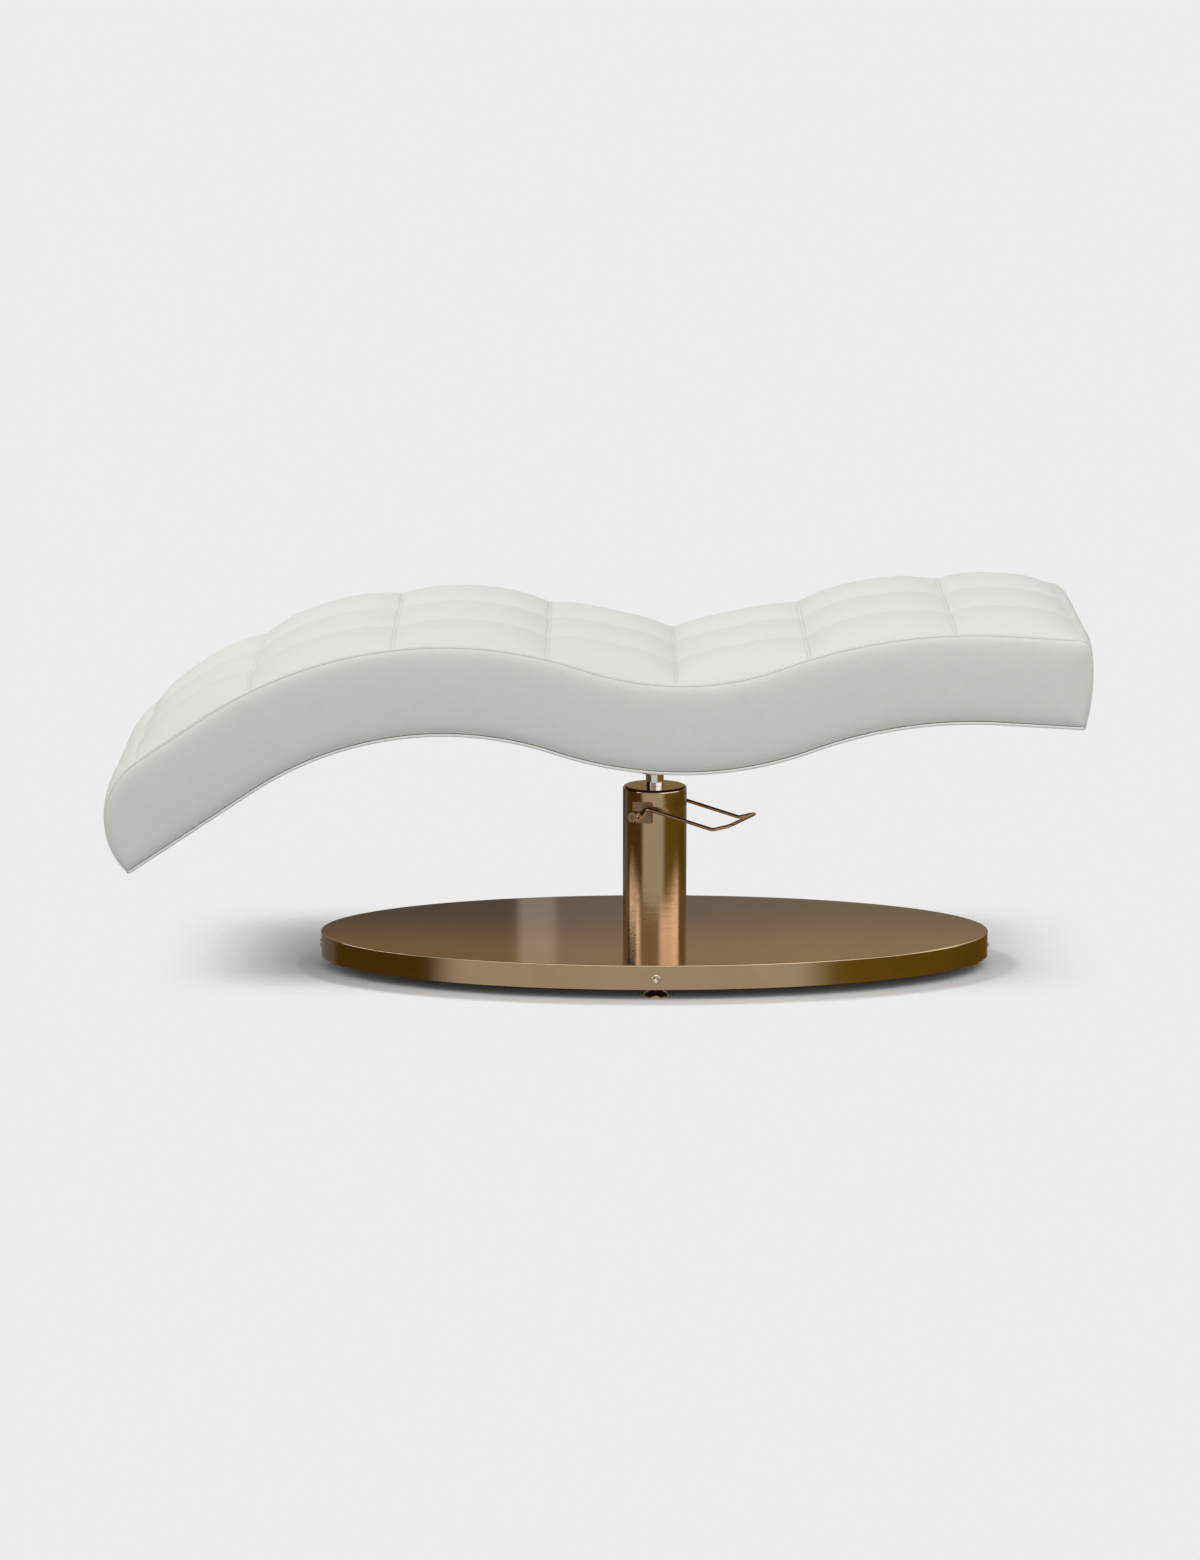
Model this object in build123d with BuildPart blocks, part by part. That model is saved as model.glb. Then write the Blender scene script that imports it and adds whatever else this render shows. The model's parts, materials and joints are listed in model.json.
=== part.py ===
"""An eyelash extension bed.

A wave-shaped padded top turns on the chrome rod of a hydraulic column, which stands on an
oval base with levelling feet. Millimetres, +Z up, +X towards the head end. The origin lies
on the floor under the middle of the whole length.
"""
import os
from math import asin, atan2, cos, degrees, radians, sin, sqrt

from build123d import *

# Clearances
overrun = 2.0
running_gap = 0.05
seat_gap = 0.1
layer_gap = 0.2
straight_turn = 0.01

# Oval base
base_length = 1300.0
base_width = 650.0
base_height = 47.0
rim_bottom = 20.0
cover_wall = 3.0
rim_round = 2.0
plate_lift = 2.0
plate_thickness = 10.0
plate_inset = 10.0
frame_length = 860.0
frame_width = 430.0
frame_bar = 6.0
spoke_clearance = 15.0

# Rim screws and the blocks behind the rim
rim_screw_radius = 4.0
rim_head_radius = 8.25
rim_head_height = 4.5
rim_head_round = 3.2
rim_socket_width = 5.0
rim_socket_depth = 2.6
rim_screw_length = 22.0
rim_screw_height = 21.0
block_width = 30.0
block_depth = 20.0
block_height = 18.0

# Levelling feet
foot_inset = 40.0
foot_pad_radius = 23.5
foot_pad_rim = 4.0
foot_pad_bevel = 1.5
foot_cone_top = 13.0
foot_stem_radius = 8.5
foot_length = 52.0
foot_slot_width = 2.5
foot_slot_depth = 3.0
locknut_width = 24.0
locknut_height = 8.0
boss_radius = 15.0
boss_height = 12.0

# Column
column_radius = 62.0
column_wall = 3.0
column_top = 353.5
column_lid = 8.0
column_round = 5.5
rod_window = 1.2
flange_radius = 100.0
flange_thickness = 8.0
spigot_height = 6.0
spigot_wall = 3.5
flange_bolt_count = 6
flange_bolt_ring_diameter = 165.0
flange_bolt_radius = 5.0
bolt_head_width = 17.0
bolt_head_height = 6.4

# Hydraulic pump
pump_foot_height = 20.0
reservoir_radius = 52.0
reservoir_wall = 4.0
reservoir_height = 180.0
reservoir_lid_radius = 56.0
reservoir_lid_thickness = 10.0
cylinder_radius = 28.0
cylinder_bore = 24.0
cylinder_height = 265.0
gland_depth = 25.0
gland_flange = 8.0
wiper_height = 5.0
wiper_width = 5.0
barrel_radius = 9.0
barrel_height = 28.0
plunger_radius = 6.0
plunger_head_radius = 8.5
plunger_head_height = 4.0
plunger_foot_gap = 12.0
plunger_gap = 0.2
spring_radius = 7.3
spring_wire = 0.7
spring_turns = 4

# Piston
rod_radius = 17.5
piston_height = 28.0
piston_floor_gap = 12.0
piston_side_gap = 0.1
ring_height = 5.0
ring_depth = 3.0
ring_land = 6.0
rod_spigot_radius = 11.0
piston_nut_width = 24.0
piston_nut_height = 10.0
washer_height = 3.0
washer_radius = 26.0
journal_radius = 12.5

# Turntable under the bed
hub_radius = 30.0
hub_height = 48.0
gusset_reach = 62.0
gusset_height = 36.0
gusset_thickness = 8.0
gusset_foot = 6.0
turntable_size = 240.0
turntable_thickness = 8.0
turntable_gap = 1.6
turntable_corner = 18.0
turntable_bolt_spacing = 180.0
turntable_bolt_radius = 5.0
turntable_bolt_length = 42.0
retainer_radius = 20.0
retainer_height = 3.0
retainer_screw_radius = 5.0
retainer_head_radius = 8.0
retainer_head_height = 6.5
retainer_screw_depth = 26.0

# Foot pedal
pedal_yaw = 23.0
shaft_height = 310.0
shaft_radius = 7.0
shaft_inner_end = 33.0
shaft_outer_end = 105.0
shaft_tapping = 14.0
pad_width = 40.0
pad_height = 41.0
pad_face = 64.2
pad_root = 45.0
pad_round = 1.5
bush_wall = 2.0
bush_inner_end = 50.0
collar_radius = 11.0
collar_start = 99.0
collar_end = 112.0
collar_web = 2.5
collar_bevel = 1.0
end_screw_radius = 3.0
end_screw_length = 12.0
end_head_radius = 6.2
end_head_height = 4.0
end_socket_width = 5.0
end_socket_depth = 2.5
rocker_reach = 24.0
rocker_hub_radius = 10.0
rocker_nose_radius = 6.0
rocker_half_height = 5.0
rocker_start = 35.0
rocker_thickness = 10.0
loop_wire = 3.5
loop_half_width = 69.0
loop_knee = (9.5, 10.5)
loop_corner = (149.0, -21.0)
loop_toe = (183.0, -11.0)
loop_tail = (10.8, -0.5)
loop_knee_bend = 8.0
loop_corner_bend = 18.0
loop_toe_bend = 9.0

# Wave of the bed, drawn from its lowest point: radius and turn of each stretch, then the runs
bed_width = 700.0
bed_thickness = 171.0
dip_x = 50.0
dip_z = 523.8
seat_radius = 625.0
seat_turn = 20.1
back_radius = 960.0
back_turn = 23.5
head_run = 159.0
thigh_radius = 685.0
thigh_turn = 18.5
knee_radius = 735.0
knee_turn = 52.0
shin_run = 276.0
nose_radius = 136.0
nose_start = 1037.7
head_corner = 22.0
head_bulge_radius = 380.0
head_bulge_offset = -5.0

# Upholstery
side_depth = 12.0
skin_depth = 6.0
welt_radius = 3.0
under_thickness = 3.0
seam_distances = (-796.0, -543.0, -283.2, -15.1, 268.7, 522.3)
end_foam = 30.0
tuft_crown = 31.0
tuft_middle = 32.0
tuft_channel = 23.0
bridge_share = 0.42
seam_crown = 10.0
seam_middle = 11.0
seam_channel = 6.0
nose_crown = 12.0
nose_channel = 9.0
bend_crown = 9.0
bend_channel = 8.0
end_crown = 5.0
end_channel = 3.5
end_overlap = 8.0

# Timber frame
deck_thickness = 10.0
rib_thickness = 18.0
inner_rib_place = 113.0
rail_thickness = 18.0
rail_skirt = 8.0
mount_block_length = 216.0
block_pocket_radius = 24.0
block_pocket_depth = 16.0
block_top_gap = 0.3


# Wave geometry, in the upright plane through the middle of the bed

half_thickness = bed_thickness / 2
head_stretches = [
    (radians(seat_turn) * seat_radius, 1 / seat_radius),
    (radians(back_turn) * back_radius, -1 / back_radius),
    (head_run, 0),
]
foot_stretches = [
    (radians(thigh_turn) * thigh_radius, 1 / thigh_radius),
    (radians(knee_turn) * knee_radius, -1 / knee_radius),
    (shin_run, 0),
]
head_joints = [sum(s[0] for s in head_stretches[:n]) for n in (1, 2)]
foot_joints = [-sum(s[0] for s in foot_stretches[:n]) for n in (1, 2)]
head_station = sum(stretch[0] for stretch in head_stretches)
nose_station = -nose_start


def wave_at(station, offset=0):
    """Point and heading at a distance along the wave's middle line and an offset above it."""
    x, z, heading = dip_x, dip_z, 0
    forward = 1 if station > 0 else -1
    left = abs(station)
    stretches = head_stretches if station > 0 else foot_stretches
    for number, (length, curvature) in enumerate(stretches):
        step = left if number == len(stretches) - 1 else min(length, left)
        turned = heading + forward * step * curvature
        if curvature:
            x += (sin(turned) - sin(heading)) / curvature
            z -= (cos(turned) - cos(heading)) / curvature
        else:
            x += forward * step * cos(heading)
            z += forward * step * sin(heading)
        heading = turned
        left -= step
    return (x - offset * sin(heading), z + offset * cos(heading)), heading


def draw_wave(offset, start, end):
    """Draw the line that keeps one offset from the wave's middle line, from start to end."""
    low, high = sorted((start, end))
    stops = sorted([low, high] + [s for s in head_joints + foot_joints + [0] if low < s < high])
    if start > end:
        stops.reverse()
    for first, last in zip(stops, stops[1:]):
        points = [wave_at(s, offset)[0] for s in (first, (first + last) / 2, last)]
        if abs(wave_at(first)[1] - wave_at(last)[1]) < radians(straight_turn):
            Line(points[0], points[-1])
        else:
            ThreePointArc(*points)


nose_centre = (nose_station, half_thickness - nose_radius)
corner_centre = (head_station - head_corner, half_thickness - head_corner)
corner_rise = corner_centre[1] - head_bulge_offset
bulge_setback = sqrt((head_bulge_radius - head_corner) ** 2 - corner_rise ** 2)
bulge_centre = (corner_centre[0] - bulge_setback, head_bulge_offset)
corner_sweep = 90 - degrees(asin(corner_rise / (head_bulge_radius - head_corner)))


def round_at(centre, angle, radius):
    """Point on a circle beside the wave, by its angle from straight up; the head end is positive."""
    turn = radians(angle)
    return wave_at(centre[0] + radius * sin(turn), centre[1] + radius * cos(turn))[0]


def fall_angle(centre, radius, floor):
    """Angle at which a circle comes down to an offset from the middle line."""
    return 90 + degrees(asin((centre[1] - floor) / radius))


def floor_station(centre, radius, floor):
    """Station at which a circle at either end comes down to an offset from the middle line."""
    reach = sqrt(radius ** 2 - (centre[1] - floor) ** 2)
    return centre[0] + (reach if centre is bulge_centre else -reach)


def draw_round(centre, radius, first, last):
    """Draw an arc about a centre beside the wave, between two angles."""
    ThreePointArc(*[round_at(centre, angle, radius) for angle in (first, (first + last) / 2, last)])


def draw_outline(inset, floor):
    """Draw the closed side outline of the bed, drawn in all round, down to a floor offset."""
    nose, bulge = nose_radius - inset, head_bulge_radius - inset
    draw_wave(half_thickness - inset, nose_station, corner_centre[0])
    draw_round(corner_centre, head_corner - inset, 0, corner_sweep)
    draw_round(bulge_centre, bulge, corner_sweep, fall_angle(bulge_centre, bulge, floor))
    draw_wave(
        floor,
        floor_station(bulge_centre, bulge, floor),
        floor_station(nose_centre, nose, floor),
    )
    draw_round(nose_centre, nose, -fall_angle(nose_centre, nose, floor), 0)


nose_reach = wave_at(*nose_centre)[0][0] - nose_radius - nose_crown
head_reach = wave_at(bulge_centre[0] + head_bulge_radius, head_bulge_offset)[0][0] + end_crown
column_x = -(nose_reach + head_reach) / 2


# Planes

column_axis = Axis((column_x, 0, 0), (0, 0, 1))


def level(height):
    """A level plane with its centre on the column."""
    return Plane(origin=(column_x, 0, height))


def upright(place):
    """An upright plane along the bed, at a distance across it, that faces the near side."""
    return Plane(origin=(column_x, place, 0), x_dir=(1, 0, 0), z_dir=(0, -1, 0))


def revolved_rings(rings):
    """Draw plain rings as half sections: inner radius, outer radius, bottom and top of each."""
    for inner, outer, low, high in rings:
        with Locations(((inner + outer) / 2, (low + high) / 2)):
            Rectangle(outer - inner, high - low)


# Oval base

rim_top = rim_bottom + base_height
cover_inside = rim_top - cover_wall
plate_bottom = rim_bottom + plate_lift
plate_top = plate_bottom + plate_thickness
half_length = base_length / 2
half_width = base_width / 2
screw_z = rim_bottom + rim_screw_height
sides = {"front": (0, -1), "back": (0, 1), "left": (-1, 0), "right": (1, 0)}


def rim_point(side, inset):
    """Point of the rim on one side, moved in from the edge."""
    x, y = sides[side]
    return x * (half_length - inset), y * (half_width - inset)


def rim_plane(side, inset):
    """An upright plane at the rim that faces outwards, at the height of the rim screws."""
    x, y = rim_point(side, inset)
    return Plane(origin=(column_x + x, y, screw_z), x_dir=(0, 0, 1), z_dir=(*sides[side], 0))


def block_setback(side):
    """How far a rim block's flat face stays behind the curved rim's outside."""
    along, across = (half_length, half_width) if sides[side][0] else (half_width, half_length)
    inner, other = along - cover_wall, across - cover_wall
    bow = inner - inner * sqrt(1 - (block_width / 2 / other) ** 2)
    return cover_wall + bow + layer_gap


foot_places = [rim_point(side, foot_inset) for side in sides]
flange_top = plate_top + flange_thickness

with BuildPart() as base_cover:
    with BuildSketch(level(rim_bottom)):
        Ellipse(half_length, half_width)
    extrude(amount=base_height)
    fillet(base_cover.faces().sort_by(Axis.Z)[-1].edges(), radius=rim_round)
    with BuildSketch(level(rim_bottom)):
        Ellipse(half_length - cover_wall, half_width - cover_wall)
    extrude(amount=base_height - cover_wall, mode=Mode.SUBTRACT)
    with BuildSketch(level(rim_bottom)):
        Circle(column_radius + seat_gap)
    extrude(amount=base_height, mode=Mode.SUBTRACT)
    for side in sides:
        with BuildSketch(rim_plane(side, 0)):
            Circle(rim_screw_radius + layer_gap)
        extrude(amount=-cover_wall * 2, mode=Mode.SUBTRACT)

with BuildPart() as base_plate:
    with BuildSketch(level(plate_bottom)):
        Ellipse(half_length - plate_inset, half_width - plate_inset)
        with Locations(*foot_places):
            Circle(foot_stem_radius + running_gap, mode=Mode.SUBTRACT)
        with PolarLocations(flange_bolt_ring_diameter / 2, flange_bolt_count):
            Circle(flange_bolt_radius + running_gap, mode=Mode.SUBTRACT)
    extrude(amount=plate_thickness)

with BuildPart() as cover_frame:
    with BuildSketch(level(plate_top)):
        Ellipse(frame_length / 2, frame_width / 2)
        Ellipse(frame_length / 2 - frame_bar, frame_width / 2 - frame_bar, mode=Mode.SUBTRACT)
        Rectangle(frame_length - frame_bar, frame_bar)
        Rectangle(frame_bar, frame_width - frame_bar)
        Circle(flange_radius + spoke_clearance, mode=Mode.SUBTRACT)
    extrude(amount=cover_inside - plate_top)

with BuildPart() as rim_blocks:
    for side in sides:
        reach = block_setback(side)
        x, y = rim_point(side, reach + block_depth / 2)
        with BuildSketch(level(plate_top)):
            with Locations((x, y)):
                Rectangle(block_depth, block_width, rotation=degrees(atan2(y, x)))
        extrude(amount=block_height)
        with BuildSketch(rim_plane(side, reach)):
            Circle(rim_screw_radius + running_gap)
        extrude(amount=-block_depth, mode=Mode.SUBTRACT)

with BuildPart() as rim_screw:
    Cylinder(rim_head_radius, rim_head_height, align=(Align.CENTER, Align.CENTER, Align.MIN))
    fillet(rim_screw.faces().sort_by(Axis.Z)[-1].edges(), radius=rim_head_round)
    with BuildSketch(Plane.XY.offset(rim_head_height)):
        RegularPolygon(rim_socket_width / 2, 6, major_radius=False)
    extrude(amount=-rim_socket_depth, mode=Mode.SUBTRACT)
    Cylinder(rim_screw_radius, rim_screw_length, align=(Align.CENTER, Align.CENTER, Align.MAX))

with BuildPart() as rim_screws:
    with Locations(*[Location(rim_plane(side, 0)) for side in sides]):
        add(rim_screw.part)

# Levelling feet

feet = {}
for side, (x, y) in zip(sides, foot_places):
    with BuildPart() as foot:
        with BuildSketch(Plane(origin=(column_x + x, y, 0), x_dir=(1, 0, 0), z_dir=(0, -1, 0))):
            with BuildLine():
                Polyline(
                    (0, 0),
                    (foot_pad_radius, 0),
                    (foot_pad_radius, foot_pad_rim),
                    (foot_stem_radius, foot_cone_top),
                    (foot_stem_radius, foot_length),
                    (0, foot_length),
                    close=True,
                )
            make_face()
        revolve(axis=Axis((column_x + x, y, 0), (0, 0, 1)))
        rims = foot.edges().filter_by(lambda edge: abs(edge.center().Z - foot_pad_rim) < seat_gap)
        chamfer(rims.sort_by(SortBy.LENGTH)[-1], length=foot_pad_bevel)
        with BuildSketch(Plane(origin=(column_x + x, y, foot_length))):
            Rectangle(foot_stem_radius * 2, foot_slot_width)
        extrude(amount=-foot_slot_depth, mode=Mode.SUBTRACT)
    feet[f"{side}_foot"] = foot

with BuildPart() as foot_locknuts:
    with BuildSketch(level(plate_bottom - locknut_height)):
        with Locations(*foot_places):
            RegularPolygon(locknut_width / 2, 6, major_radius=False)
            Circle(foot_stem_radius + running_gap, mode=Mode.SUBTRACT)
    extrude(amount=locknut_height)

with BuildPart() as foot_bosses:
    with BuildSketch(level(plate_top)):
        with Locations(*foot_places):
            Circle(boss_radius)
            Circle(foot_stem_radius + running_gap, mode=Mode.SUBTRACT)
    extrude(amount=boss_height)

# Column

column_inside = column_radius - column_wall
yaw = radians(pedal_yaw)
shaft_way = (-sin(yaw), -cos(yaw))
pedal_way = (cos(yaw), -sin(yaw))


def shaft_plane(reach, side=1):
    """A plane across the pedal shaft that faces away from the column, on one side of it."""
    along, outward = side * reach, (side * shaft_way[0], side * shaft_way[1], 0)
    origin = (column_x + along * shaft_way[0], along * shaft_way[1], shaft_height)
    return Plane(origin=origin, x_dir=(side * pedal_way[0], side * pedal_way[1], 0), z_dir=outward)


def pedal_point(out, ahead, up):
    """A point by its distance along the shaft, ahead towards the toe, and above the shaft."""
    x = column_x + out * shaft_way[0] + ahead * pedal_way[0]
    y = out * shaft_way[1] + ahead * pedal_way[1]
    return x, y, shaft_height + up


bush_radius = shaft_radius + running_gap + bush_wall

with BuildPart() as column_flange:
    with BuildSketch(level(plate_top)):
        Circle(flange_radius)
        with PolarLocations(flange_bolt_ring_diameter / 2, flange_bolt_count):
            Circle(flange_bolt_radius + layer_gap, mode=Mode.SUBTRACT)
    extrude(amount=flange_thickness)
    with BuildSketch(level(flange_top)):
        Circle(column_inside - seat_gap)
        Circle(column_inside - spigot_wall, mode=Mode.SUBTRACT)
    extrude(amount=spigot_height)

with BuildPart() as flange_bolts:
    with BuildSketch(level(flange_top)):
        with PolarLocations(flange_bolt_ring_diameter / 2, flange_bolt_count):
            RegularPolygon(bolt_head_width / 2, 6, major_radius=False)
    extrude(amount=bolt_head_height)
    with BuildSketch(level(plate_bottom)):
        with PolarLocations(flange_bolt_ring_diameter / 2, flange_bolt_count):
            Circle(flange_bolt_radius)
    extrude(amount=flange_top - plate_bottom)

with BuildPart() as column_shroud:
    with BuildSketch(level(flange_top)):
        Circle(column_radius)
    extrude(amount=column_top - flange_top)
    fillet(column_shroud.faces().sort_by(Axis.Z)[-1].edges(), radius=column_round)
    with BuildSketch(level(flange_top)):
        Circle(column_inside)
    extrude(amount=column_top - column_lid - flange_top, mode=Mode.SUBTRACT)
    with BuildSketch(level(column_top)):
        Circle(rod_radius + rod_window)
    extrude(amount=-column_lid, mode=Mode.SUBTRACT)
    for side in (1, -1):
        with BuildSketch(shaft_plane(column_inside - overrun, side)):
            Circle(bush_radius + seat_gap)
        extrude(amount=column_wall + overrun * 2, mode=Mode.SUBTRACT)

with BuildPart() as bearing_pads:
    for side in (1, -1):
        with BuildSketch(shaft_plane(pad_root, side)):
            RectangleRounded(pad_width, pad_height, pad_round)
            Circle(bush_radius + seat_gap, mode=Mode.SUBTRACT)
        extrude(amount=pad_face - pad_root)
    with BuildSketch(level(shaft_height - pad_height)):
        Circle(column_radius + seat_gap)
    extrude(amount=pad_height * 2, mode=Mode.SUBTRACT)

with BuildPart() as shaft_bushes:
    for side in (1, -1):
        with BuildSketch(shaft_plane(bush_inner_end, side)):
            Circle(bush_radius)
            Circle(shaft_radius + running_gap, mode=Mode.SUBTRACT)
        extrude(amount=pad_face - bush_inner_end)

# Hydraulic pump

pump_floor = flange_top + pump_foot_height
reservoir_top = pump_floor + reservoir_height
lid_top = reservoir_top + reservoir_lid_thickness
cylinder_top = pump_floor + cylinder_height
gland_top = cylinder_top + gland_flange
barrel_top = lid_top + barrel_height
plunger_top = shaft_height - rocker_nose_radius - plunger_gap
plunger_place = rocker_start + rocker_thickness / 2
plunger_x, plunger_y, _ = pedal_point(plunger_place, rocker_reach, 0)


def plunger_level(height):
    """A level plane with its centre on the plunger."""
    return Plane(origin=(plunger_x, plunger_y, height))


with BuildPart() as pump_foot:
    with BuildSketch(upright(0)):
        revolved_rings([(0, reservoir_radius, flange_top, pump_floor)])
    revolve(axis=column_axis)

with BuildPart() as reservoir_tube:
    with BuildSketch(level(pump_floor)):
        Circle(reservoir_radius)
        Circle(reservoir_radius - reservoir_wall, mode=Mode.SUBTRACT)
    extrude(amount=reservoir_height)

with BuildPart() as reservoir_lid:
    with BuildSketch(level(reservoir_top)):
        Circle(reservoir_lid_radius)
        Circle(cylinder_radius + running_gap, mode=Mode.SUBTRACT)
    extrude(amount=reservoir_lid_thickness)

with BuildPart() as pump_cylinder:
    with BuildSketch(level(pump_floor)):
        Circle(cylinder_radius)
        Circle(cylinder_bore, mode=Mode.SUBTRACT)
    extrude(amount=cylinder_height)

with BuildPart() as cylinder_gland:
    with BuildSketch(upright(0)):
        inner = rod_radius + running_gap
        revolved_rings([
            (inner, cylinder_bore - running_gap, cylinder_top - gland_depth, cylinder_top),
            (inner, cylinder_radius, cylinder_top, gland_top),
        ])
    revolve(axis=column_axis)

with BuildPart() as rod_wiper:
    with BuildSketch(level(gland_top)):
        Circle(rod_radius + wiper_width)
        Circle(rod_radius + running_gap, mode=Mode.SUBTRACT)
    extrude(amount=wiper_height)
    chamfer(
        rod_wiper.faces().sort_by(Axis.Z)[-1].edges().sort_by(SortBy.LENGTH)[-1],
        length=wiper_width / 2,
    )

with BuildPart() as pump_barrel:
    with BuildSketch(plunger_level(lid_top)):
        Circle(barrel_radius)
        Circle(plunger_radius + running_gap, mode=Mode.SUBTRACT)
    extrude(amount=barrel_height)

with BuildPart() as pump_plunger:
    with BuildSketch(plunger_level(lid_top + plunger_foot_gap)):
        Circle(plunger_radius)
    extrude(amount=plunger_top - lid_top - plunger_foot_gap)
    with BuildSketch(plunger_level(plunger_top)):
        Circle(plunger_head_radius)
    extrude(amount=-plunger_head_height)

spring_low = barrel_top + spring_wire + layer_gap
spring_high = plunger_top - plunger_head_height - spring_wire - layer_gap
with BuildPart() as return_spring:
    with BuildLine():
        coil = Helix(
            pitch=(spring_high - spring_low) / spring_turns,
            height=spring_high - spring_low,
            radius=spring_radius,
            center=(plunger_x, plunger_y, spring_low),
        )
    with BuildSketch(Plane(origin=coil @ 0, z_dir=coil % 0)):
        RegularPolygon(spring_wire, 6)
    sweep()

# Piston

piston_bottom = pump_floor + piston_floor_gap
piston_top = piston_bottom + piston_height
piston_radius = cylinder_bore - piston_side_gap
groove_radius = cylinder_bore - ring_depth
ring_bottoms = [
    piston_bottom + ring_land,
    piston_top - ring_land - ring_height,
]
mount_height = dip_z - half_thickness - turntable_gap
turntable_bottom = mount_height - turntable_thickness
hub_bottom = turntable_bottom - hub_height
shoulder = hub_bottom - washer_height
journal_top = mount_height + layer_gap

with BuildPart() as piston_head:
    with BuildSketch(upright(0)):
        inner = rod_spigot_radius + running_gap
        revolved_rings([(inner, piston_radius, piston_bottom, piston_top)])
        for low in ring_bottoms:
            with Locations((groove_radius + ring_depth / 2, low + ring_height / 2)):
                Rectangle(ring_depth, ring_height, mode=Mode.SUBTRACT)
    revolve(axis=column_axis)

with BuildPart() as piston_rings:
    for low in ring_bottoms:
        with BuildSketch(level(low + running_gap)):
            Circle(cylinder_bore - running_gap)
            Circle(groove_radius + running_gap, mode=Mode.SUBTRACT)
        extrude(amount=ring_height - running_gap * 2)

with BuildPart() as piston_nut:
    with BuildSketch(level(piston_bottom - piston_nut_height)):
        RegularPolygon(piston_nut_width / 2, 6, major_radius=False)
        Circle(rod_spigot_radius + running_gap, mode=Mode.SUBTRACT)
    extrude(amount=piston_nut_height)

with BuildPart() as piston_rod:
    with BuildSketch(upright(0)):
        revolved_rings([
            (0, rod_spigot_radius, piston_bottom - piston_nut_height, piston_top),
            (0, rod_radius, piston_top, shoulder),
            (0, journal_radius, shoulder, journal_top),
        ])
    revolve(axis=column_axis)
    with BuildSketch(level(journal_top)):
        Circle(retainer_screw_radius + running_gap)
    extrude(amount=-retainer_screw_depth - overrun, mode=Mode.SUBTRACT)

with BuildPart() as thrust_washer:
    with BuildSketch(level(shoulder)):
        Circle(washer_radius)
        Circle(journal_radius + running_gap, mode=Mode.SUBTRACT)
    extrude(amount=washer_height - running_gap)

with BuildPart() as retaining_washer:
    with BuildSketch(level(journal_top)):
        Circle(retainer_radius)
        Circle(retainer_screw_radius + running_gap, mode=Mode.SUBTRACT)
    extrude(amount=retainer_height)

with BuildPart() as retaining_screw:
    with BuildSketch(level(journal_top + retainer_height)):
        Circle(retainer_head_radius)
    extrude(amount=retainer_head_height)
    with BuildSketch(level(journal_top + retainer_height + retainer_head_height)):
        RegularPolygon(retainer_screw_radius, 6)
    extrude(amount=-retainer_head_height / 2, mode=Mode.SUBTRACT)
    with BuildSketch(level(journal_top + retainer_height)):
        Circle(retainer_screw_radius)
    extrude(amount=-retainer_height - retainer_screw_depth)

# Foot pedal

with BuildPart() as stub_shafts:
    for side in (1, -1):
        with BuildSketch(shaft_plane(shaft_inner_end, side)):
            Circle(shaft_radius)
        extrude(amount=shaft_outer_end - shaft_inner_end)
        with BuildSketch(shaft_plane(shaft_outer_end, side)):
            Circle(end_screw_radius + running_gap)
        extrude(amount=-shaft_tapping, mode=Mode.SUBTRACT)

collar_step = shaft_outer_end + layer_gap
head_seat = collar_step + collar_web

with BuildPart() as shaft_collars:
    for side in (1, -1):
        with BuildSketch(shaft_plane(collar_start, side)):
            Circle(collar_radius)
        extrude(amount=collar_end - collar_start)
        with BuildSketch(shaft_plane(collar_start, side)):
            Circle(shaft_radius + running_gap)
        extrude(amount=collar_step - collar_start, mode=Mode.SUBTRACT)
        with BuildSketch(shaft_plane(collar_step, side)):
            Circle(end_screw_radius + layer_gap)
        extrude(amount=collar_web, mode=Mode.SUBTRACT)
        with BuildSketch(shaft_plane(head_seat, side)):
            Circle(end_head_radius + layer_gap)
        extrude(amount=collar_end - head_seat, mode=Mode.SUBTRACT)
    rims = shaft_collars.edges().filter_by(GeomType.CIRCLE)
    outer_rims = rims.filter_by(lambda edge: abs(edge.radius - collar_radius) < seat_gap)
    chamfer(outer_rims, length=collar_bevel)

with BuildPart() as collar_screws:
    for side in (1, -1):
        with BuildSketch(shaft_plane(head_seat, side)):
            Circle(end_head_radius)
        extrude(amount=end_head_height)
        with BuildSketch(shaft_plane(head_seat, side)):
            Circle(end_screw_radius)
        extrude(amount=-collar_web - end_screw_length)
        with BuildSketch(shaft_plane(head_seat + end_head_height, side)):
            RegularPolygon(end_socket_width / 2, 6, major_radius=False)
        extrude(amount=-end_socket_depth, mode=Mode.SUBTRACT)

with BuildPart() as rocker_arm:
    with BuildSketch(shaft_plane(rocker_start)):
        Circle(rocker_hub_radius)
        with Locations((rocker_reach / 2, 0)):
            Rectangle(rocker_reach, rocker_half_height * 2)
        with Locations((rocker_reach, 0)):
            Circle(rocker_nose_radius)
        Circle(shaft_radius + running_gap, mode=Mode.SUBTRACT)
    extrude(amount=rocker_thickness)

near_half = [
    (collar_start, *loop_tail),
    (loop_half_width, *loop_knee),
    (loop_half_width, *loop_corner),
    (loop_half_width, *loop_toe),
]
far_half = [(-out, ahead, up) for out, ahead, up in reversed(near_half)]
bends = [loop_knee_bend, loop_corner_bend, loop_toe_bend]

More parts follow.
